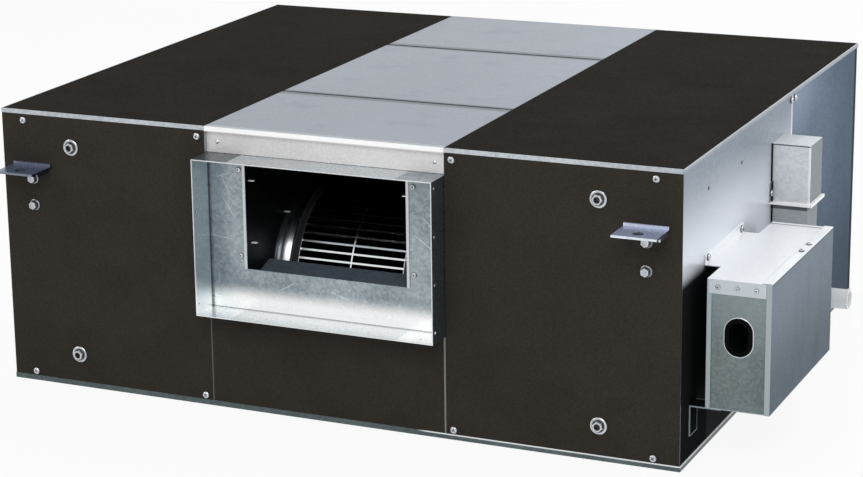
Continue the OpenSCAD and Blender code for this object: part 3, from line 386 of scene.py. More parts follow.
fascia_bright = sheet_finish("fascia_bright", srgb(212, 210, 210), srgb(228, 226, 226), 0.42, 0.25,
                             crystals=380.0, cloud=3.0, scratched=0.15, bump=0.02)
fold_y, fold_z = axes_of(fascia_bright, "Object")[1:]
fold_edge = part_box("front_fascia")[0].y
fold_highlight = both(spread(fold_z, 0.3918, 0.3922), spread(fold_y, fold_edge + 0.001, fold_edge + 0.0004))
# Painted shade on the top of the fold and a painted highlight line along its front.
lay_over(fascia_bright, both(faces(fascia_bright, 2, 1, 0.9), spread(fold_z, 0.39, 0.395)),
         srgb(158, 166, 173))
lay_over(fascia_bright, fold_highlight, srgb(253, 253, 253))
dress(fascia_bright, "front_fascia")


# Bare plates along the middle of the top
# Three blue-grey zinc plates, each joggled under the next, laid between the two faced panels.
# They are smooth and even, with a soft gloss and painted shade along each lap.

top_zinc = sheet_finish("top_zinc", srgb(136, 143, 154), srgb(146, 153, 164), 0.36, 0.7,
                        crystals=400.0, cloud=2.0, scratched=0.1, bump=0.015)
lap_y = axes_of(top_zinc, "Object")[1]
# Painted shade, a soft dark band along each lap.
for lap_at in (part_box("top_centre_front")[1].y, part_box("top_centre_rear")[0].y):
    lap_off = sum_of("ABSOLUTE", sum_of("SUBTRACT", lap_y, lap_at))
    lay_over(top_zinc, spread(lap_off, 0.0135, 0.0105, 0.8), srgb(82, 91, 98))
dress(top_zinc, "top_centre_front", "top_centre_middle", "top_centre_rear")


# Supply collar
# A folded tray of galvanised steel: plate with the outlet, four flanges with rivet holes, hemmed opening.
# It shows crystals, scratches from the folding press and darker smudges, with painted light and shade by
# face, painted highlights on its rims and painted shade lines in its corners.

def shine_where(material, mask):
    """Makes a finish fully metal where the mask is one, so that a bright place stays bright."""
    metallic = shader_of(material).inputs["Metallic"]
    metal = metallic.default_value
    join(sum_of("ADD", sum_of("MULTIPLY", mask, 1.0 - metal), metal), metallic)


collar_zinc = sheet_finish("collar_zinc", srgb(126, 138, 144), srgb(168, 177, 182), 0.3, 0.72,
                           crystals=240.0, cloud=14.0, scratched=0.9, bump=0.05)
collar_x, collar_y, collar_z = axes_of(collar_zinc, "Object")
collar_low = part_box("duct_collar")[0]
aside_face = faces(collar_zinc, 0)
upward_face = faces(collar_zinc, 2)
# Painted light and shade by face: the left flange's inner face is painted paler than the right flange's outer
# one, and the foot and the lower lip are painted bright.
lay_over(collar_zinc, both(aside_face, spread(collar_x, -0.1, 0.1, 0.0, 0.85)), srgb(186, 200, 206))
lay_over(collar_zinc, both(aside_face, spread(collar_x, -0.1, 0.1, 0.85)), srgb(82, 92, 96))
plate_ahead = faces(collar_zinc, 1, -1)
foot_painted_light = both(spread(collar_z, collar_low.z + 0.039, collar_low.z + 0.013, 0.98), plate_ahead)
lip_painted_light = both(upward_face, spread(collar_z, 0.2, 0.16, 0.98))
lay_over(collar_zinc, foot_painted_light, srgb(254, 254, 254))
# Painted light low on the left flange's inner face and a painted shade line in its corner with the plate.
inner_left = both(aside_face, spread(collar_x, 0.1, 0.0))
lay_over(collar_zinc, both(inner_left, spread(collar_z, 0.175, 0.147, 0.6)), srgb(236, 240, 240))
lay_over(collar_zinc, both(inner_left, spread(collar_y, -0.4235, -0.4215, 0.9)), srgb(30, 37, 40))
lay_over(collar_zinc, lip_painted_light, srgb(254, 254, 254))
# Painted shade on the top flange, darker towards the left.
top_flange_shade = both(upward_face, spread(collar_z, 0.33, 0.34), spread(collar_x, 0.03, -0.13, 0.75))
lay_over(collar_zinc, top_flange_shade, srgb(84, 90, 94))
# A painted shade line along the plate's lower edge; painted highlights along the flange rims and the hem.
lower_edge_shade = both(plate_ahead, spread(collar_z, collar_low.z + 0.0026, collar_low.z + 0.0022, 0.7),
                  spread(collar_y, -0.43, -0.425))
lay_over(collar_zinc, lower_edge_shade, srgb(120, 128, 131))
flange_rim_highlight = spread(collar_y, collar_low.y + 0.0018, collar_low.y + 0.0008, 0.8)
lay_over(collar_zinc, flange_rim_highlight, srgb(232, 236, 238))
hem_highlight = both(spread(collar_y, -0.4184, -0.4188, 0.7), spread(sum_of("ABSOLUTE", collar_x), 0.1236, 0.123))
lay_over(collar_zinc, hem_highlight, srgb(216, 222, 224))
shine_where(collar_zinc, sum_of("MAXIMUM", foot_painted_light, lip_painted_light))
# Place across and up, slope in radians and length of each long scratch on the plate
scratches = ((-0.150, 0.318, -1.15, 0.040), (-0.146, 0.286, -1.0, 0.052), (-0.158, 0.243, -0.1, 0.046),
             (-0.152, 0.331, 0.35, 0.030), (0.152, 0.290, -0.75, 0.038), (0.148, 0.262, -0.6, 0.050),
             (-0.060, 0.182, 0.5, 0.034), (0.020, 0.178, -0.3, 0.040))
for scratch_x, scratch_z, lean, length in scratches:
    off_x = sum_of("SUBTRACT", collar_x, scratch_x)
    off_z = sum_of("SUBTRACT", collar_z, scratch_z)
    along = sum_of("ADD", sum_of("MULTIPLY", off_x, math.cos(lean)),
                   sum_of("MULTIPLY", off_z, math.sin(lean)))
    bow = sum_of("MULTIPLY", sum_of("MULTIPLY", along, along), 2.2)
    across = sum_of("SUBTRACT", sum_of("MULTIPLY", off_z, math.cos(lean)),
                    sum_of("MULTIPLY", off_x, math.sin(lean)))
    across = sum_of("ABSOLUTE", sum_of("SUBTRACT", across, bow))
    reach = sum_of("ABSOLUTE", along)
    scratch = both(spread(across, 0.0007, 0.0002, 0.6), plate_ahead, spread(reach, length / 2, length / 5))
    lay_over(collar_zinc, scratch, srgb(236, 240, 242))
dress(collar_zinc, "duct_collar")


# Blower scroll, tongue and inlet bells
# The scroll is rolled sheet between two side plates, all painted near-black as shade inside the blower; the
# tongue under the outlet is bare steel.
# The bells are spun zinc rings screwed to the side plates; the feet stand on the base pan.

scroll_black = sheet_finish("scroll_black", srgb(6, 7, 8), srgb(15, 17, 19), 0.4, 0.2, scratched=0.1)
set_specular(scroll_black, 0.2)
tongue_grey = sheet_finish("tongue_grey", srgb(88, 100, 111), srgb(112, 123, 134), 0.5, 0.4, scratched=0.3)
dress(scroll_black, "scroll_wrap", "scroll_side_left", "scroll_side_right")
dress(tongue_grey, "cutoff_tongue")
bell_zinc = sheet_finish("bell_zinc", srgb(196, 200, 204), srgb(218, 221, 224), 0.25, 1.0, crystals=400.0,
                         scratched=0.1, bump=0.008, sheen=0.02)
dress(bell_zinc, "inlet_bells")
dress(pan_zinc, "blower_feet")


# Blower wheel
# Forward-curved blades punched from one strip, riveted to a centre disc and rolled into two end rings.
# All are thin galvanised steel, painted near-black as shade inside the wheel, with a painted highlight along
# the blade tips and painted shade on the end rings' bands; the hub and the shaft are turned steel.

blade_zinc = sheet_finish("blade_zinc", srgb(14, 16, 18), srgb(24, 26, 28), 0.17, 1.0, scratched=0.1)
axle_y, axle_z, blade_tip = -0.225, 0.156, 0.124
blade_y, blade_z = axes_of(blade_zinc, "Object")[1:]


def distance_from(across, up, middle_across, middle_up):
    """Distance of two coordinates from a middle point."""
    off_across = sum_of("SUBTRACT", across, middle_across)
    off_up = sum_of("SUBTRACT", up, middle_up)
    return sum_of("SQRT", sum_of("ADD", sum_of("MULTIPLY", off_across, off_across),
                                 sum_of("MULTIPLY", off_up, off_up)))


blade_out = distance_from(blade_y, blade_z, axle_y, axle_z)
# Painted highlight along the blade tips.
lay_over(blade_zinc, spread(blade_out, blade_tip - 0.0004, blade_tip, 0.97), srgb(226, 229, 232))
ring_zinc = sheet_finish("ring_zinc", srgb(190, 194, 199), srgb(214, 217, 220), 0.14, 1.0, crystals=400.0,
                         scratched=0.2, bump=0.01)
ring_out = sum_of("ABSOLUTE", axes_of(ring_zinc, "Object")[0])
blade_end, ring_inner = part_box("wheel_blades")[1].x, 0.0803
# Painted shade on the flat band of each end ring.
ring_band_shade = both(spread(ring_out, blade_end + 0.0006, blade_end, 0.97),
                 spread(ring_out, ring_inner - 0.0006, ring_inner))
lay_over(ring_zinc, ring_band_shade, srgb(16, 18, 20))
dull_where(ring_zinc, ring_band_shade)
set_specular(ring_zinc, 0.2)
dress(blade_zinc, "wheel_blades", "wheel_disc")
dress(ring_zinc, "wheel_end_rings")


def turned_finish(name, low, high, rough, lines=1600.0):
    """Machined or drawn metal with fine turning lines along X."""
    made, shader, place = new_material(name)
    ring = noise(stretched(place, (0.0, 0.0, 0.0), (lines, 30.0, 30.0)), 1.0, 2.0)
    smudge = effect_at(place, handling_marks)["Smudge"]
    colour = blend_colours(spread(ring, 0.3, 0.7), low, high)
    colour = blend_colours(sum_of("MULTIPLY", smudge, 0.4), colour, scaled(low, 0.6))
    join(colour, shader.inputs["Base Color"])
    join(sum_of("ADD", sum_of("MULTIPLY", ring, 0.1), rough - 0.05), shader.inputs["Roughness"])
    shader.inputs["Metallic"].default_value = 1.0
    raise_grain(shader, ring, 0.08, 0.0002)
    return made


turned_steel = turned_finish("turned_steel", srgb(150, 152, 155), srgb(198, 200, 202), 0.25)
dress(turned_steel, "wheel_hub", "motor_shaft")


# Motor
# A rolled shell with cast end bells round a laminated stator, in dark grey paint.
# A zinc band clamps it and three arms carry it on the inlet bell.

motor_coat = coated_finish("motor_coat", srgb(44, 49, 54), srgb(62, 68, 74), 0.45, grain=700.0, bump=0.2)
stator_layers = turned_finish("stator_layers", srgb(70, 62, 54), srgb(112, 104, 96), 0.45, lines=2000.0)
dress(motor_coat, "motor_shell", "motor_end_bells")
dress(stator_layers, "motor_stator")
dress(pan_zinc, "motor_band", "motor_arms")


# Coil
# Some three hundred corrugated aluminium fins pressed on copper hairpins between two steel end plates.
# Headers of copper pipe with brass sockets and a vent cock stand at the left end.

fin_count = 300
fin_gauge = 0.0003
fin_low, fin_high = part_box("coil_fins")
fin_inset = 0.001
fin_pitch = (fin_high.x - fin_low.x - 2 * fin_inset) / (fin_count - 1)


def skin(mesh, rows):
    """Faces between each row of corners and the next; every row closes on itself."""
    for low, high in zip(rows, rows[1:]):
        for k in range(len(low)):
            nxt = (k + 1) % len(low)
            mesh.faces.new((low[k], low[nxt], high[nxt], high[k]))


def close_ends(mesh, rows):
    """Caps the first and the last row."""
    mesh.faces.new(rows[0])
    mesh.faces.new(rows[-1])


def as_piece(mesh, name):
    """Turns a mesh in the making into an object in the scene."""
    bmesh.ops.recalc_face_normals(mesh, faces=mesh.faces)
    data = bpy.data.meshes.new(name)
    mesh.to_mesh(data)
    mesh.free()
    made = bpy.data.objects.new(name, data)
    bpy.context.scene.collection.objects.link(made)
    return made


foil = bmesh.new()
waves, wave_height = 8, 0.0006
fin_corners = ((-1, fin_low.z), (1, fin_low.z), (1, fin_high.z), (-1, fin_high.z))
fin_rows = []
for step in range(waves + 1):
    depth = fin_low.y + (fin_high.y - fin_low.y) * step / waves
    lean = wave_height if step % 2 else -wave_height
    if step in (0, waves):
        lean = 0.0
    fin_rows.append([foil.verts.new((lean + side * fin_gauge / 2, depth, height))
                     for side, height in fin_corners])
skin(foil, fin_rows)
close_ends(foil, fin_rows)
one_fin = as_piece(foil, "one_fin")

fin_foil = sheet_finish("fin_foil", srgb(214, 217, 220), srgb(232, 234, 236), 0.32, 0.55, crystals=400.0,
                        cloud=40.0, scratched=0.1, bump=0.02)


def new_tree(name, inputs):
    """A Geometry Nodes tree with named inputs, their identifiers and its two ends."""
    tree = bpy.data.node_groups.new(name, "GeometryNodeTree")
    tree.is_modifier = True
    keys = {}
    tree.interface.new_socket(name="Geometry", in_out="INPUT", socket_type="NodeSocketGeometry")
    for label, kind in inputs:
        keys[label] = tree.interface.new_socket(name=label, in_out="INPUT", socket_type=kind).identifier
    tree.interface.new_socket(name="Geometry", in_out="OUTPUT", socket_type="NodeSocketGeometry")
    return tree, keys, tree.nodes.new("NodeGroupInput"), tree.nodes.new("NodeGroupOutput")


def grown(name, base, tree, keys, values):
    """Runs a tree on a base mesh and keeps the result as a plain mesh."""
    made = bpy.data.objects.new(name, base)
    bpy.context.scene.collection.objects.link(made)
    growth = made.modifiers.new("growth", "NODES")
    growth.node_group = tree
    for label, value in values.items():
        growth[keys[label]] = value
    plain = bpy.data.meshes.new_from_object(made.evaluated_get(bpy.context.evaluated_depsgraph_get()))
    made.modifiers.clear()
    made.data = plain
    plain.name = name
    return made


def set_on_points(tree, tree_in, tree_out, points, piece, finish):
    """Sets the piece on every point, makes the copies real and gives them their finish."""
    info = tree.nodes.new("GeometryNodeObjectInfo")
    copies = tree.nodes.new("GeometryNodeInstanceOnPoints")
    real = tree.nodes.new("GeometryNodeRealizeInstances")
    finished = tree.nodes.new("GeometryNodeSetMaterial")
    join(tree_in.outputs[piece], info.inputs["Object"])
    join(points, copies.inputs["Points"])
    join(info.outputs["Geometry"], copies.inputs["Instance"])
    join(copies.outputs[0], real.inputs[0])
    join(real.outputs[0], finished.inputs["Geometry"])
    join(tree_in.outputs[finish], finished.inputs["Material"])
    join(finished.outputs[0], tree_out.inputs[0])
    return copies


fin_stack, stack_keys, stack_in, stack_out = new_tree(
    "fin_stack", [("Fin", "NodeSocketObject"), ("Fins", "NodeSocketInt"), ("Pitch", "NodeSocketFloat"),
                  ("First", "NodeSocketFloat"), ("Foil", "NodeSocketMaterial")])
stack_line = fin_stack.nodes.new("GeometryNodeMeshLine")
stack_start = fin_stack.nodes.new("ShaderNodeCombineXYZ")
stack_step = fin_stack.nodes.new("ShaderNodeCombineXYZ")
join(stack_in.outputs["First"], stack_start.inputs[0])
join(stack_in.outputs["Pitch"], stack_step.inputs[0])
join(stack_in.outputs["Fins"], stack_line.inputs["Count"])
join(stack_start.outputs[0], stack_line.inputs["Start Location"])
join(stack_step.outputs[0], stack_line.inputs["Offset"])
set_on_points(fin_stack, stack_in, stack_out, stack_line.outputs[0], "Fin", "Foil")

fin_pack = grown("fin_pack", bpy.data.meshes.new("fin_seed"), fin_stack, stack_keys,
                 {"Fin": one_fin, "Fins": fin_count, "Pitch": fin_pitch, "First": fin_low.x + fin_inset,
                  "Foil": fin_foil})
bpy.data.objects.remove(one_fin)
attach(fin_pack, "casing")
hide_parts("coil_fins")

copper = turned_finish("copper", srgb(176, 98, 62), srgb(214, 140, 98), 0.28, lines=500.0)
brass = turned_finish("brass", srgb(176, 142, 70), srgb(214, 182, 108), 0.28, lines=900.0)
dress(copper, "coil_tubes", "water_headers")
dress(brass, "water_sockets", "air_vent")
dress(pan_zinc, "coil_end_plates")


# Drain pan, its foam strips and the spigot
# A folded pan under the coil on two white foam strips, with a white plastic pipe out through the right wall.
# The plastic is moulded, slightly waxy and smooth.

drain_white = coated_finish("drain_white", srgb(240, 241, 242), srgb(250, 250, 250), 0.35, grain=500.0,
                            bump=0.05, speck=0.0)
pad_foam = coated_finish("pad_foam", srgb(214, 214, 210), srgb(236, 236, 233), 0.9, grain=350.0, bump=0.8,
                         speck=0.0)
dress(drain_white, "drain_spigot")
dress(pad_foam, "drain_pads")
dress(pan_zinc, "drain_pan")


# Electric box
# A bent tray with an end plate, a bright top plate and an outer cover, in smooth blue-grey zinc sheet, with
# painted light and shade by face, painted shade lines at the folds and painted highlights on the edges.
# A black rubber ring with a bright rim lines the oval cable entry; board and capacitor sit inside.

box_zinc = sheet_finish("box_zinc", srgb(100, 114, 127), srgb(114, 128, 140), 0.34, 0.5, crystals=400.0,
                        cloud=3.0, scratched=0.12, bump=0.015)
box_height = axes_of(box_zinc, "Object")[2]
# Painted shade, darker towards the bottom.
lay_over(box_zinc, spread(box_height, 0.24, 0.09, 0.8), srgb(58, 72, 84))
set_specular(box_zinc, 0.0)
cover_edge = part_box("box_cover")[1].z
box_outer = faces(box_zinc, 0)
# A painted shade line under the cover's top edge and a painted highlight along that edge, on the outward
# faces.
under_edge_shade = spread(box_height, cover_edge - 0.0045, cover_edge - 0.0030, 0.6)
edge_highlight = spread(box_height, cover_edge - 0.0017, cover_edge - 0.0012, 0.95)
lay_over(box_zinc, both(under_edge_shade, box_outer), srgb(52, 63, 74))
lay_over(box_zinc, both(edge_highlight, box_outer), srgb(250, 251, 252))
# Painted light: upward faces bright and front faces paler.
lay_over(box_zinc, faces(box_zinc, 2, 1, 0.92), srgb(238, 241, 244))
lay_over(box_zinc, faces(box_zinc, 1, -1, 0.9), srgb(168, 178, 181))
box_end_zinc = sheet_finish("box_end_zinc", srgb(90, 103, 105), srgb(118, 130, 131), 0.36, 0.6,
                            crystals=300.0, cloud=8.0, scratched=0.25, bump=0.03)
# Painted light on the end plate, paler towards the top.
lay_over(box_end_zinc, spread(axes_of(box_end_zinc, "Object")[2], 0.14, 0.23, 0.5),
         srgb(144, 156, 158))
box_top_bright = sheet_finish("box_top_bright", srgb(234, 236, 240), srgb(244, 246, 248), 0.32, 0.15,
                              crystals=400.0, cloud=4.0, scratched=0.15, bump=0.02)
# Painted shade on the front face of the top plate's lip.
lay_over(box_top_bright, faces(box_top_bright, 1, -1, 0.9), srgb(184, 193, 200))
top_x, top_y, top_z = axes_of(box_top_bright, "Object")
lip_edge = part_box("box_top")[1].z
lip_front = both(faces(box_top_bright, 1, -1), spread(top_y, -0.36, -0.38))
# Along the front lip, a painted shade line below a painted highlight line near its top edge.
for line_low, painted_line_tone in ((0.0033, srgb(120, 130, 136)), (0.0016, srgb(252, 253, 253))):
    painted_lip_line = spread(top_z, lip_edge - line_low, lip_edge - line_low + 0.0004, 0.8)
    lay_over(box_top_bright, both(painted_lip_line, lip_front), painted_line_tone)
top_upper = faces(box_top_bright, 2)
# Painted shade lines at the fold along the right edge and at the tab's fold.
lay_over(box_top_bright, both(spread(top_x, 0.5914, 0.592, 0.8), top_upper), srgb(120, 128, 134))
tab_fold_shade = both(spread(top_y, -0.1115, -0.1105, 0.9), spread(top_y, -0.1065, -0.1075))
lay_over(box_top_bright, both(tab_fold_shade, top_upper), srgb(112, 120, 128))
# The bracket is painted near-black as shade, with painted highlights along its cut edges.
bracket_shaded = sheet_finish("bracket_shaded", srgb(14, 18, 19), srgb(24, 29, 30), 0.5, 0.0, scratched=0.2)
bracket_low, bracket_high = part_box("box_bracket")
bracket_y, bracket_z = axes_of(bracket_shaded, "Object")[1:]
cut_wide, cut_fade = 0.001, 0.0016
cut_edge_highlights = spread(bracket_z, bracket_low.z + cut_fade, bracket_low.z + cut_wide, 0.9)
for cut_at, way in ((bracket_low.y, 1), (bracket_high.y, -1)):
    cut_end = spread(bracket_y, cut_at + way * cut_fade, cut_at + way * cut_wide, 0.9)
    cut_edge_highlights = sum_of("MAXIMUM", cut_edge_highlights, cut_end)
lay_over(bracket_shaded, cut_edge_highlights, srgb(150, 160, 163))
set_specular(bracket_shaded, 0.0)
entry_rubber = coated_finish("entry_rubber", srgb(4, 4, 5), srgb(9, 9, 10), 0.7, grain=600.0, bump=0.2,
                             speck=0.03)
set_specular(entry_rubber, 0.04)
board_green = coated_finish("board_green", srgb(24, 84, 50), srgb(38, 110, 68), 0.4, grain=400.0, bump=0.1)
terminal_ivory = coated_finish("terminal_ivory", srgb(214, 208, 188), srgb(230, 225, 208), 0.4, grain=500.0,
                               bump=0.1)
capacitor_grey = coated_finish("capacitor_grey", srgb(196, 198, 200), srgb(216, 218, 220), 0.35,
                               grain=500.0, bump=0.08)
dress(box_zinc, "box_tray", "box_cover")
dress(box_end_zinc, "box_end_plate")
dress(box_top_bright, "box_top")
dress(bracket_shaded, "box_bracket")
dress(entry_rubber, "cable_grommet")

entry_x, entry_y, entry_z = 0.5628, -0.3892, 0.177
entry_half, entry_round, rim_wire = 0.007, 0.019, 0.0009
arc_steps, wire_sides = 23, 8
rim_mesh = bmesh.new()
rim_rings = []
for end in (1, -1):
    for step in range(arc_steps + 1):
        angle = math.pi * step / arc_steps
        out_x, out_z = end * math.cos(angle), end * math.sin(angle)
        rim_x = entry_x + entry_round * out_x
        rim_z = entry_z + end * entry_half + entry_round * out_z
        ring = []
        for k in range(wire_sides):
            swell = rim_wire * math.cos(math.tau * k / wire_sides)
            rise = rim_wire * math.sin(math.tau * k / wire_sides)
            ring.append(rim_mesh.verts.new((rim_x + swell * out_x, entry_y + rise, rim_z + swell * out_z)))
        rim_rings.append(ring)
skin(rim_mesh, rim_rings + rim_rings[:1])
entry_rim = as_piece(rim_mesh, "entry_rim")
entry_rim.data.shade_smooth()
rim_bright = sheet_finish("rim_bright", srgb(196, 204, 206), srgb(220, 226, 227), 0.25, 0.6, scratched=0.2)
entry_rim.data.materials.append(rim_bright)
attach(entry_rim, "casing")
dress(board_green, "control_board")
dress(terminal_ivory, "terminal_block")
dress(capacitor_grey, "run_capacitor")


# Pipe cover
# Two five-sided zinc covers over the pipe passage on the right wall, the lower slid into the upper's rim.
# They are folded from the walls' sheet, a little brighter, with painted shade on the side and in the folds
# and painted highlights on the rim and a corner; a black strip runs along the front edge.

cover_zinc = sheet_finish("cover_zinc", srgb(202, 207, 211), srgb(226, 229, 231), 0.36, 0.22,
                          crystals=300.0, cloud=14.0, scratched=0.4, bump=0.03)
cover_x, cover_y, cover_z = axes_of(cover_zinc, "Object")
rim_low, hood_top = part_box("pipe_cover_upper")[0].z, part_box("pipe_cover_upper")[1].z
cover_front = faces(cover_zinc, 1, -1)
# Painted shade on the side that faces right.
lay_over(cover_zinc, faces(cover_zinc, 0, 1, 0.9), srgb(84, 95, 107))
# Painted highlight along the front outer corner.
corner_highlight = both(spread(cover_x, 0.5502, 0.5512, 0.9), spread(cover_y, -0.0299, -0.0309),
                    spread(cover_z, 0.2615, 0.262))
lay_over(cover_zinc, corner_highlight, srgb(246, 247, 248))
# A painted highlight on the rim and painted shade lines at the hood's top fold and under the rim.
rim_highlight = both(spread(cover_z, rim_low - 0.0004, rim_low, 0.97),
                 spread(cover_z, rim_low + 0.0046, rim_low + 0.004))
lay_over(cover_zinc, rim_highlight, srgb(253, 253, 253))
hood_fold_shade = both(spread(cover_z, hood_top - 0.0022, hood_top - 0.0017, 0.92),
                  spread(cover_z, hood_top - 0.0001, hood_top - 0.0005), cover_front)
under_rim_shade = both(spread(cover_z, rim_low - 0.0078, rim_low - 0.0068, 0.9),
                 spread(cover_z, rim_low - 0.0001, rim_low - 0.0004))
lay_over(cover_zinc, sum_of("MAXIMUM", hood_fold_shade, under_rim_shade), srgb(22, 27, 33))
lower_front = both(spread(cover_z, rim_low - 0.0004, rim_low - 0.001, 0.45), cover_front)
lay_over(cover_zinc, lower_front, srgb(112, 120, 126))
dull_where(cover_zinc, rim_highlight)
dress(cover_zinc, "pipe_cover_upper", "pipe_cover_lower")

# A black strip along the front edge of the covers, between cover and wall.
strip_round, strip_sides = 0.0018, 8
upper_strip = (-0.0342, ((0.2613, 0.5), (0.2889, 0.5), (0.2893, 0.4988), (0.3432, 0.4988)))
lower_strip = (-0.0302, ((0.1102, 0.4988), (0.2566, 0.4988)))
strip_mesh = bmesh.new()
for strip_y, steps in (upper_strip, lower_strip):
    strip_rows = []
    for height, base in steps:
        row = []
        for k in range(strip_sides + 1):
            angle = math.pi * k / strip_sides
            out, across = strip_round * math.sin(angle), strip_round * math.cos(angle)
            row.append(strip_mesh.verts.new((base + out, strip_y - across, height)))
        strip_rows.append(row)
    skin(strip_mesh, strip_rows)
    close_ends(strip_mesh, strip_rows)
cover_seal = as_piece(strip_mesh, "cover_seal")
cover_seal.data.materials.append(entry_rubber)
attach(cover_seal, "casing")


# Hanger brackets
# Four pressed angles of 3 mm steel, zinc plated with a bluish passivation, bolted through the front and rear.
# Their tongues carry the hanging rods.

hanger_blue = sheet_finish("hanger_blue", srgb(206, 212, 228), srgb(228, 233, 242), 0.24, 0.3,
                           crystals=400.0, cloud=18.0, scratched=0.4, bump=0.015)
hanger_x, hanger_y = axes_of(hanger_blue, "Object")[:2]
# Painted shade on the upward faces.
lay_over(hanger_blue, spread(axes_of(hanger_blue, "Normal")[2], 0.5, 0.7, 0.85), srgb(152, 163, 197))
rod_x, rod_y, rod_hole = 0.452, 0.458, 0.0068
# Painted shade in the rod holes, on the sides that face right and over the left front hanger.
hole_out = distance_from(sum_of("ABSOLUTE", hanger_x), sum_of("ABSOLUTE", hanger_y), rod_x, rod_y)
hole_shade = spread(hole_out, rod_hole + 0.0006, rod_hole, 0.97)
hanger_side_shade = faces(hanger_blue, 0, 1, 0.95)
hanger_painted_shade = sum_of("MAXIMUM", hole_shade, hanger_side_shade)
left_hanger_shade = both(spread(hanger_x, -0.3, -0.35, 0.8), spread(hanger_y, -0.3, -0.35))
lay_over(hanger_blue, left_hanger_shade, srgb(52, 63, 92))
lay_over(hanger_blue, hanger_painted_shade, srgb(10, 13, 26))
dull_where(hanger_blue, hanger_painted_shade)
dress(hanger_blue, "hanger_brackets")


# Screws, flange bolts and washer bolts
# Cross-recessed pan screws hold the sheets, hexagon flange bolts the hangers, washer bolts the panels.
# All are bright zinc plated steel with painted shade in their recesses and on their sides, set at the places
# of the solid fasteners.

bolt_zinc = turned_finish("bolt_zinc", srgb(186, 190, 196), srgb(212, 216, 220), 0.2, lines=140.0)
# Painted shade from each piece's shade values: dark in recesses, on the sides of heads and at corners.
bolt_painted_shade = put(bolt_zinc.node_tree, "ShaderNodeAttribute", {"attribute_name": "shade"}).outputs["Fac"]
lay_over(bolt_zinc, bolt_painted_shade, srgb(20, 22, 25))
dull_where(bolt_zinc, bolt_painted_shade)


def blank():
    """An empty mesh whose corners carry a shade."""
    mesh = bmesh.new()
    mesh.verts.layers.float.new("shade")
    return mesh


def lathe(mesh, profile, sides):
    """Rings of (radius, height, shade) about Z; shade is painted shade in recesses, on the sides of heads and
    at corners.
    """
    shade = mesh.verts.layers.float["shade"]
    rings = []
    for radius, height, shade_part in profile:
        ring = []
        for k in range(sides):
            angle = math.tau * k / sides
            ring.append(mesh.verts.new((radius * math.cos(angle), radius * math.sin(angle), height)))
            ring[-1][shade] = shade_part
        rings.append(ring)
    skin(mesh, rings)
    return rings


def edges_round(mesh, ring):
    """Edges along a ring of corners."""
    return [mesh.edges.get((ring[k], ring[(k + 1) % len(ring)])) for k in range(len(ring))]


def pan_screw(name, length):
    """Domed head with a cross recess on a plain shank."""
    mesh = blank()
    dome = lathe(mesh, [(0.0022, -length, 1), (0.0022, 0.0, 1), (0.0050, 0.0, 1), (0.0050, 0.0010, 0.8),
                        (0.0046, 0.0020, 0.3), (0.0038, 0.0027, 0), (0.0029, 0.0030, 0)], 20)
    mesh.faces.new(dome[0])
    arm, half, crown, well, taper = 0.0024, 0.00055, 0.0030, 0.0013, 0.8
    outline = [(arm, -half), (arm, half), (half, half), (half, arm), (-half, arm), (-half, half),
               (-arm, half), (-arm, -half), (-half, -half), (-half, -arm), (half, -arm), (half, -half)]
    shade = mesh.verts.layers.float["shade"]
    cross = [mesh.verts.new((x, y, crown)) for x, y in outline]
    recess = [mesh.verts.new((x * taper, y * taper, well)) for x, y in outline]
    for corner in recess:
        corner[shade] = 1.0
    rim = [mesh.edges.new((cross[k], cross[(k + 1) % 12])) for k in range(12)]
    rim += edges_round(mesh, dome[-1])
    bmesh.ops.triangle_fill(mesh, use_beauty=True, edges=rim, normal=(0, 0, 1))
    skin(mesh, [cross, recess])
    mesh.faces.new(recess)
    return as_piece(mesh, name)


def flange_bolt(name, reach):
    """Hexagon head on a round flange, with shank and nut."""
    mesh = blank()
    for profile, sides in (
            ([(0.0080, 0.0, 1), (0.0080, 0.0012, 0.1), (0.0074, 0.0018, 0.5), (0.0062, 0.0024, 1)], 28),
            ([(0.0065, 0.0010, 1), (0.0065, 0.0062, 0.85), (0.0056, 0.0078, 0), (0.0040, 0.0080, 0),
              (0.0036, 0.0074, 0.2)], 6),
            ([(0.0040, -reach, 1), (0.0040, 0.0, 1)], 16),
            ([(0.0075, 0.0030 - reach, 0.3), (0.0075, 0.0090 - reach, 0.6)], 6)):
        close_ends(mesh, lathe(mesh, profile, sides))
    return as_piece(mesh, name)


def washer_bolt(name):
    """Hollow hexagon head on a washer, with shank and nut."""
    mesh = blank()
    close_ends(mesh, lathe(mesh, [(0.0113, 0.0, 1), (0.0115, 0.0004, 0.7), (0.0115, 0.0016, 0.15),
                                  (0.0110, 0.0020, 0), (0.0090, 0.0021, 0.2), (0.0084, 0.0021, 0.9)], 32))
    head = lathe(mesh, [(0.0080, 0.0010, 1), (0.0080, 0.0060, 0.85), (0.0068, 0.0075, 0)], 6)
    mesh.faces.new(head[0])
    well = lathe(mesh, [(0.0046, 0.0075, 0), (0.0043, 0.0070, 0.7), (0.0042, 0.0030, 1)], 18)
    mesh.faces.new(well[-1])
    rim = edges_round(mesh, head[-1]) + edges_round(mesh, well[0])
    bmesh.ops.triangle_fill(mesh, use_beauty=True, edges=rim, normal=(0, 0, 1))
    close_ends(mesh, lathe(mesh, [(0.0050, -0.0114, 1), (0.0050, 0.0, 1)], 16))
    close_ends(mesh, lathe(mesh, [(0.0090, -0.0094, 0.6), (0.0090, -0.0024, 0.3)], 6))
    return as_piece(mesh, name)


def dome_rivet(name):
    """Low dome on a short shank."""
    mesh = blank()
    close_ends(mesh, lathe(mesh, [(0.0016, -0.0020, 1), (0.0016, 0.0, 0.6), (0.0028, 0.0, 0.6),
                                  (0.0027, 0.0005, 0.1), (0.0019, 0.0011, 0), (0.0008, 0.0014, 0)], 18))
    return as_piece(mesh, name)


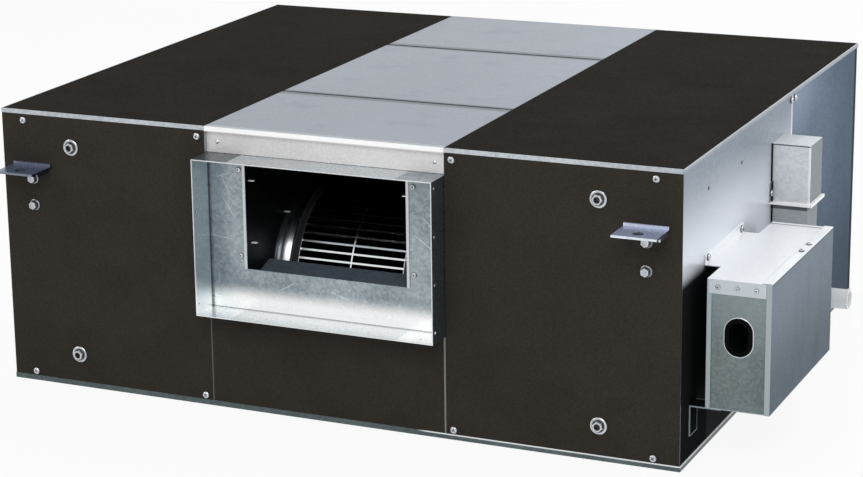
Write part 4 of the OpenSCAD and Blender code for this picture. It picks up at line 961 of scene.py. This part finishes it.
def lance_tab(name):
    """Bright tab lanced out of the scroll side, bent square to it, with a round end."""
    mesh = blank()
    half_wide, reach, thick, root = 0.0028, 0.0086, 0.0007, 0.0010
    outline = [(-half_wide, -root), (half_wide, -root)]
    for k in range(11):
        angle = math.pi * k / 10
        outline.append((half_wide * math.cos(angle), reach - half_wide + half_wide * math.sin(angle)))
    rows = []
    for side, shrink in ((-1.0, 0.92), (-0.6, 1.0), (0.6, 1.0), (1.0, 0.92)):
        rows.append([mesh.verts.new((side * thick, across * shrink, out * shrink))
                     for across, out in outline])
    skin(mesh, rows)
    close_ends(mesh, rows)
    return as_piece(mesh, name)


set_fast, fast_keys, fast_in, fast_out = new_tree(
    "set_fasteners",
    [("Fastener", "NodeSocketObject"), ("Size", "NodeSocketFloat"), ("Twist", "NodeSocketFloat"),
     ("Seed", "NodeSocketInt"), ("Plating", "NodeSocketMaterial")])
fast_way = set_fast.nodes.new("GeometryNodeInputNamedAttribute")
fast_way.data_type = "FLOAT_VECTOR"
fast_way.inputs["Name"].default_value = "facing"
fast_align = set_fast.nodes.new("FunctionNodeAlignRotationToVector")
fast_align.axis = "Z"
fast_random = set_fast.nodes.new("FunctionNodeRandomValue")
fast_random.data_type = "FLOAT"
fast_axis = set_fast.nodes.new("FunctionNodeAxisAngleToRotation")
fast_axis.inputs["Axis"].default_value = (0, 0, 1)
fast_turn = set_fast.nodes.new("FunctionNodeRotateRotation")
fast_turn.rotation_space = "LOCAL"
join(fast_way.outputs[0], fast_align.inputs["Vector"])
for socket in fast_random.inputs:
    if socket.enabled and socket.name == "Min":
        socket.default_value = 0.0
    if socket.enabled and socket.name == "Max":
        join(fast_in.outputs["Twist"], socket)
    if socket.enabled and socket.name == "Seed":
        join(fast_in.outputs["Seed"], socket)
join(next(s for s in fast_random.outputs if s.enabled), fast_axis.inputs["Angle"])
join(fast_align.outputs[0], fast_turn.inputs["Rotation"])
join(fast_axis.outputs[0], fast_turn.inputs["Rotate By"])
fast_set = set_on_points(set_fast, fast_in, fast_out, fast_in.outputs["Geometry"], "Fastener", "Plating")
join(fast_turn.outputs[0], fast_set.inputs["Rotation"])
join(fast_in.outputs["Size"], fast_set.inputs["Scale"])


def set_at(name, fastener, spots, seed, size=1.0, twist=math.tau, plating=bolt_zinc):
    """Sets one fastener at each spot, a place in millimetres and the way its head looks."""
    base = bpy.data.meshes.new(name + "_spots")
    base.from_pydata([tuple(part / 1000 for part in place) for place, way in spots], [], [])
    facing = base.attributes.new("facing", "FLOAT_VECTOR", "POINT")
    facing.data.foreach_set("vector", [part for place, way in spots for part in way])
    made = grown(name, base, set_fast, fast_keys,
                 {"Fastener": fastener, "Size": size, "Twist": twist, "Seed": seed, "Plating": plating})
    bpy.data.objects.remove(fastener)
    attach(made, "casing")
    return made


ahead, behind, aside, upward = (0, -1, 0), (0, 1, 0), (1, 0, 0), (0, 0, 1)
front_face, recess_face, rear_face, wall_face, hanger_at = -425, -418, 423.8, 500, 452
long_spots = []
for side in (-1, 1):
    long_spots += [((side * x, front_face, z), ahead) for x in (187, 464) for z in (14, 383)]
    long_spots += [((side * 491, rear_face, z), behind) for z in (30, 199, 368)]
    long_spots += [((side * 498.8, y, z), (side, 0, 0)) for y in (58, 76) for z in (14, 385)]
long_spots += [((wall_face, y, 258), aside) for y in (-322, -176)] + [((wall_face, -39, 274), aside)]
collar_spots = [((side * 129, recess_face, z), ahead) for side in (-1, 1) for z in (340, 219.5)]
lip_spots = [((534.8 + 25 * k, -390, 241), ahead) for k in range(3)]
flange_spots = [((597.8, y, 252), upward) for y in (-231, -196)]
front_bolts = [((side * hanger_at, front_face, z), ahead) for side in (-1, 1) for z in (300.5, 262)]
rear_bolts = [((side * hanger_at, rear_face, z), behind) for side in (-1, 1) for z in (300.5, 262)]
washer_spots = [((side * x, front_face, z), ahead) for side in (-1, 1) for x, z in ((388, 350), (390, 48))]
for piece in (set_at("sheet_screws", pan_screw("one_sheet_screw", 0.012), long_spots, 3),
              set_at("collar_screws", pan_screw("one_collar_screw", 0.012), collar_spots, 4, 0.78),
              set_at("lip_screws", pan_screw("one_lip_screw", 0.008), lip_spots, 5, 0.62),
              set_at("flange_screws", pan_screw("one_flange_screw", 0.008), flange_spots, 6, 0.8),
              set_at("front_hanger_bolts", flange_bolt("one_front_bolt", 0.0144), front_bolts, 7),
              set_at("rear_hanger_bolts", flange_bolt("one_rear_bolt", 0.0132), rear_bolts, 8),
              set_at("washer_bolts", washer_bolt("one_washer_bolt"), washer_spots, 11)):
    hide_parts("fasteners")
set_at("fascia_rivets", dome_rivet("one_rivet"),
       [((side * 160, recess_face, 376), ahead) for side in (-1, 1)], 12)
lance_places = ((-409, 324), (-306, 255), (-405, 236))
lance_spots = [((side * -117.8, y, z), (side, 0, 0)) for side in (-1, 1) for y, z in lance_places]
lance_bright = sheet_finish("lance_bright", srgb(226, 230, 232), srgb(244, 246, 247), 0.3, 0.3,
                            crystals=400.0, scratched=0.2)
set_at("scroll_lances", lance_tab("one_lance"), lance_spots, 13, 1.0, 0.0, lance_bright)


# Floor and backdrop
# A plain white sweep that the unit stands on.
# It takes the soft shadow and shows white to the camera and in the metal.

floor_half, floor_drop = 30, -0.0005
floor_ends = ((-1, -1), (1, -1), (1, 1), (-1, 1))
floor_corners = [(x * floor_half, y * floor_half, floor_drop) for x, y in floor_ends]
floor_mesh = bpy.data.meshes.new("floor")
floor_mesh.from_pydata(floor_corners, [], [(0, 1, 2, 3)])
floor = bpy.data.objects.new("floor", floor_mesh)
bpy.context.scene.collection.objects.link(floor)


def seen_directly(tree):
    """One for rays from the camera, from metal and through glass; they see the backdrop as plain white."""
    ray = put(tree, "ShaderNodeLightPath")
    seen = sum_of("MAXIMUM", ray.outputs["Is Camera Ray"], ray.outputs["Is Glossy Ray"])
    return sum_of("MAXIMUM", seen, ray.outputs["Is Transmission Ray"])


floor_white = bpy.data.materials.new("floor_white")
floor_white.use_nodes = True
floor_tree = floor_white.node_tree
floor_tree.nodes.clear()
floor_paint = put(floor_tree, "ShaderNodeBsdfDiffuse", None, {"Color": (0.9, 0.9, 0.9, 1)})
floor_glow = put(floor_tree, "ShaderNodeEmission", None, {"Color": (1, 1, 1, 1), "Strength": 1.0})
floor_mix = put(floor_tree, "ShaderNodeMixShader")
floor_whiteness = 0.9
join(sum_of("MULTIPLY", seen_directly(floor_tree), floor_whiteness), floor_mix.inputs[0])
join(floor_paint.outputs[0], floor_mix.inputs[1])
join(floor_glow.outputs[0], floor_mix.inputs[2])
join(floor_mix.outputs[0], put(floor_tree, "ShaderNodeOutputMaterial").inputs["Surface"])
floor_mesh.materials.append(floor_white)


# Light
# A white room at a plain level, one large soft lamp over the front right and three weaker ones round it.

room = bpy.data.worlds.new("white_room")
bpy.context.scene.world = room
room.use_nodes = True
room_tree = room.node_tree
room_back = room_tree.nodes["Background"]
room_back.inputs["Color"].default_value = (1, 1, 1, 1)
room_light, room_white = 0.55, 1.0
join(spread(seen_directly(room_tree), 0.0, 1.0, room_white, room_light), room_back.inputs["Strength"])


def soft_lamp(name, place, aim, width, height, watts):
    """A square lamp that looks at a point."""
    data = bpy.data.lights.new(name, "AREA")
    data.shape = "RECTANGLE"
    data.size, data.size_y = width, height
    data.energy = watts
    lamp = bpy.data.objects.new(name, data)
    bpy.context.scene.collection.objects.link(lamp)
    lamp.location = place
    lamp.rotation_euler = (Vector(aim) - Vector(place)).to_track_quat("-Z", "Y").to_euler()
    return lamp


soft_lamp("key_lamp", (0.9, -3.4, 2.7), (0.1, -0.2, 0.2), 2.6, 1.8, 60)
soft_lamp("left_lamp", (-3.2, -1.2, 2.2), (-0.3, 0, 0.2), 1.6, 1.6, 20)
soft_lamp("back_lamp", (0.4, 3.0, 2.6), (0, 0.2, 0.2), 2.0, 1.6, 25)
soft_lamp("right_lamp", (3.2, 0.7, 1.5), (0.5, 0.2, 0.15), 1.6, 1.4, 30)


# Camera
# A long lens from the front right and a little above, shifted as the photograph is framed.

turn, tilt, roll = math.radians(25.794), math.radians(14.964), math.radians(-1.2)
cam_place = Vector((1.4190, -3.2724, 1.1510))
cam_back = Vector((math.sin(turn) * math.cos(tilt), -math.cos(turn) * math.cos(tilt), math.sin(tilt)))
cam_right = Vector((0, 0, 1)).cross(cam_back).normalized()
cam_up = cam_back.cross(cam_right)
level_right = cam_right
cam_right = math.cos(roll) * level_right + math.sin(roll) * cam_up
cam_up = math.cos(roll) * cam_up - math.sin(roll) * level_right
lens = bpy.data.cameras.new("camera")
lens.sensor_width = 36
lens.lens = 103.41
lens.shift_x = 0.0927
lens.shift_y = -0.0361
camera = bpy.data.objects.new("camera", lens)
bpy.context.scene.collection.objects.link(camera)
camera.matrix_world = Matrix((
    (cam_right.x, cam_up.x, cam_back.x, cam_place.x),
    (cam_right.y, cam_up.y, cam_back.y, cam_place.y),
    (cam_right.z, cam_up.z, cam_back.z, cam_place.z),
    (0, 0, 0, 1)))
bpy.context.scene.camera = camera
bpy.context.scene.view_settings.view_transform = "Standard"
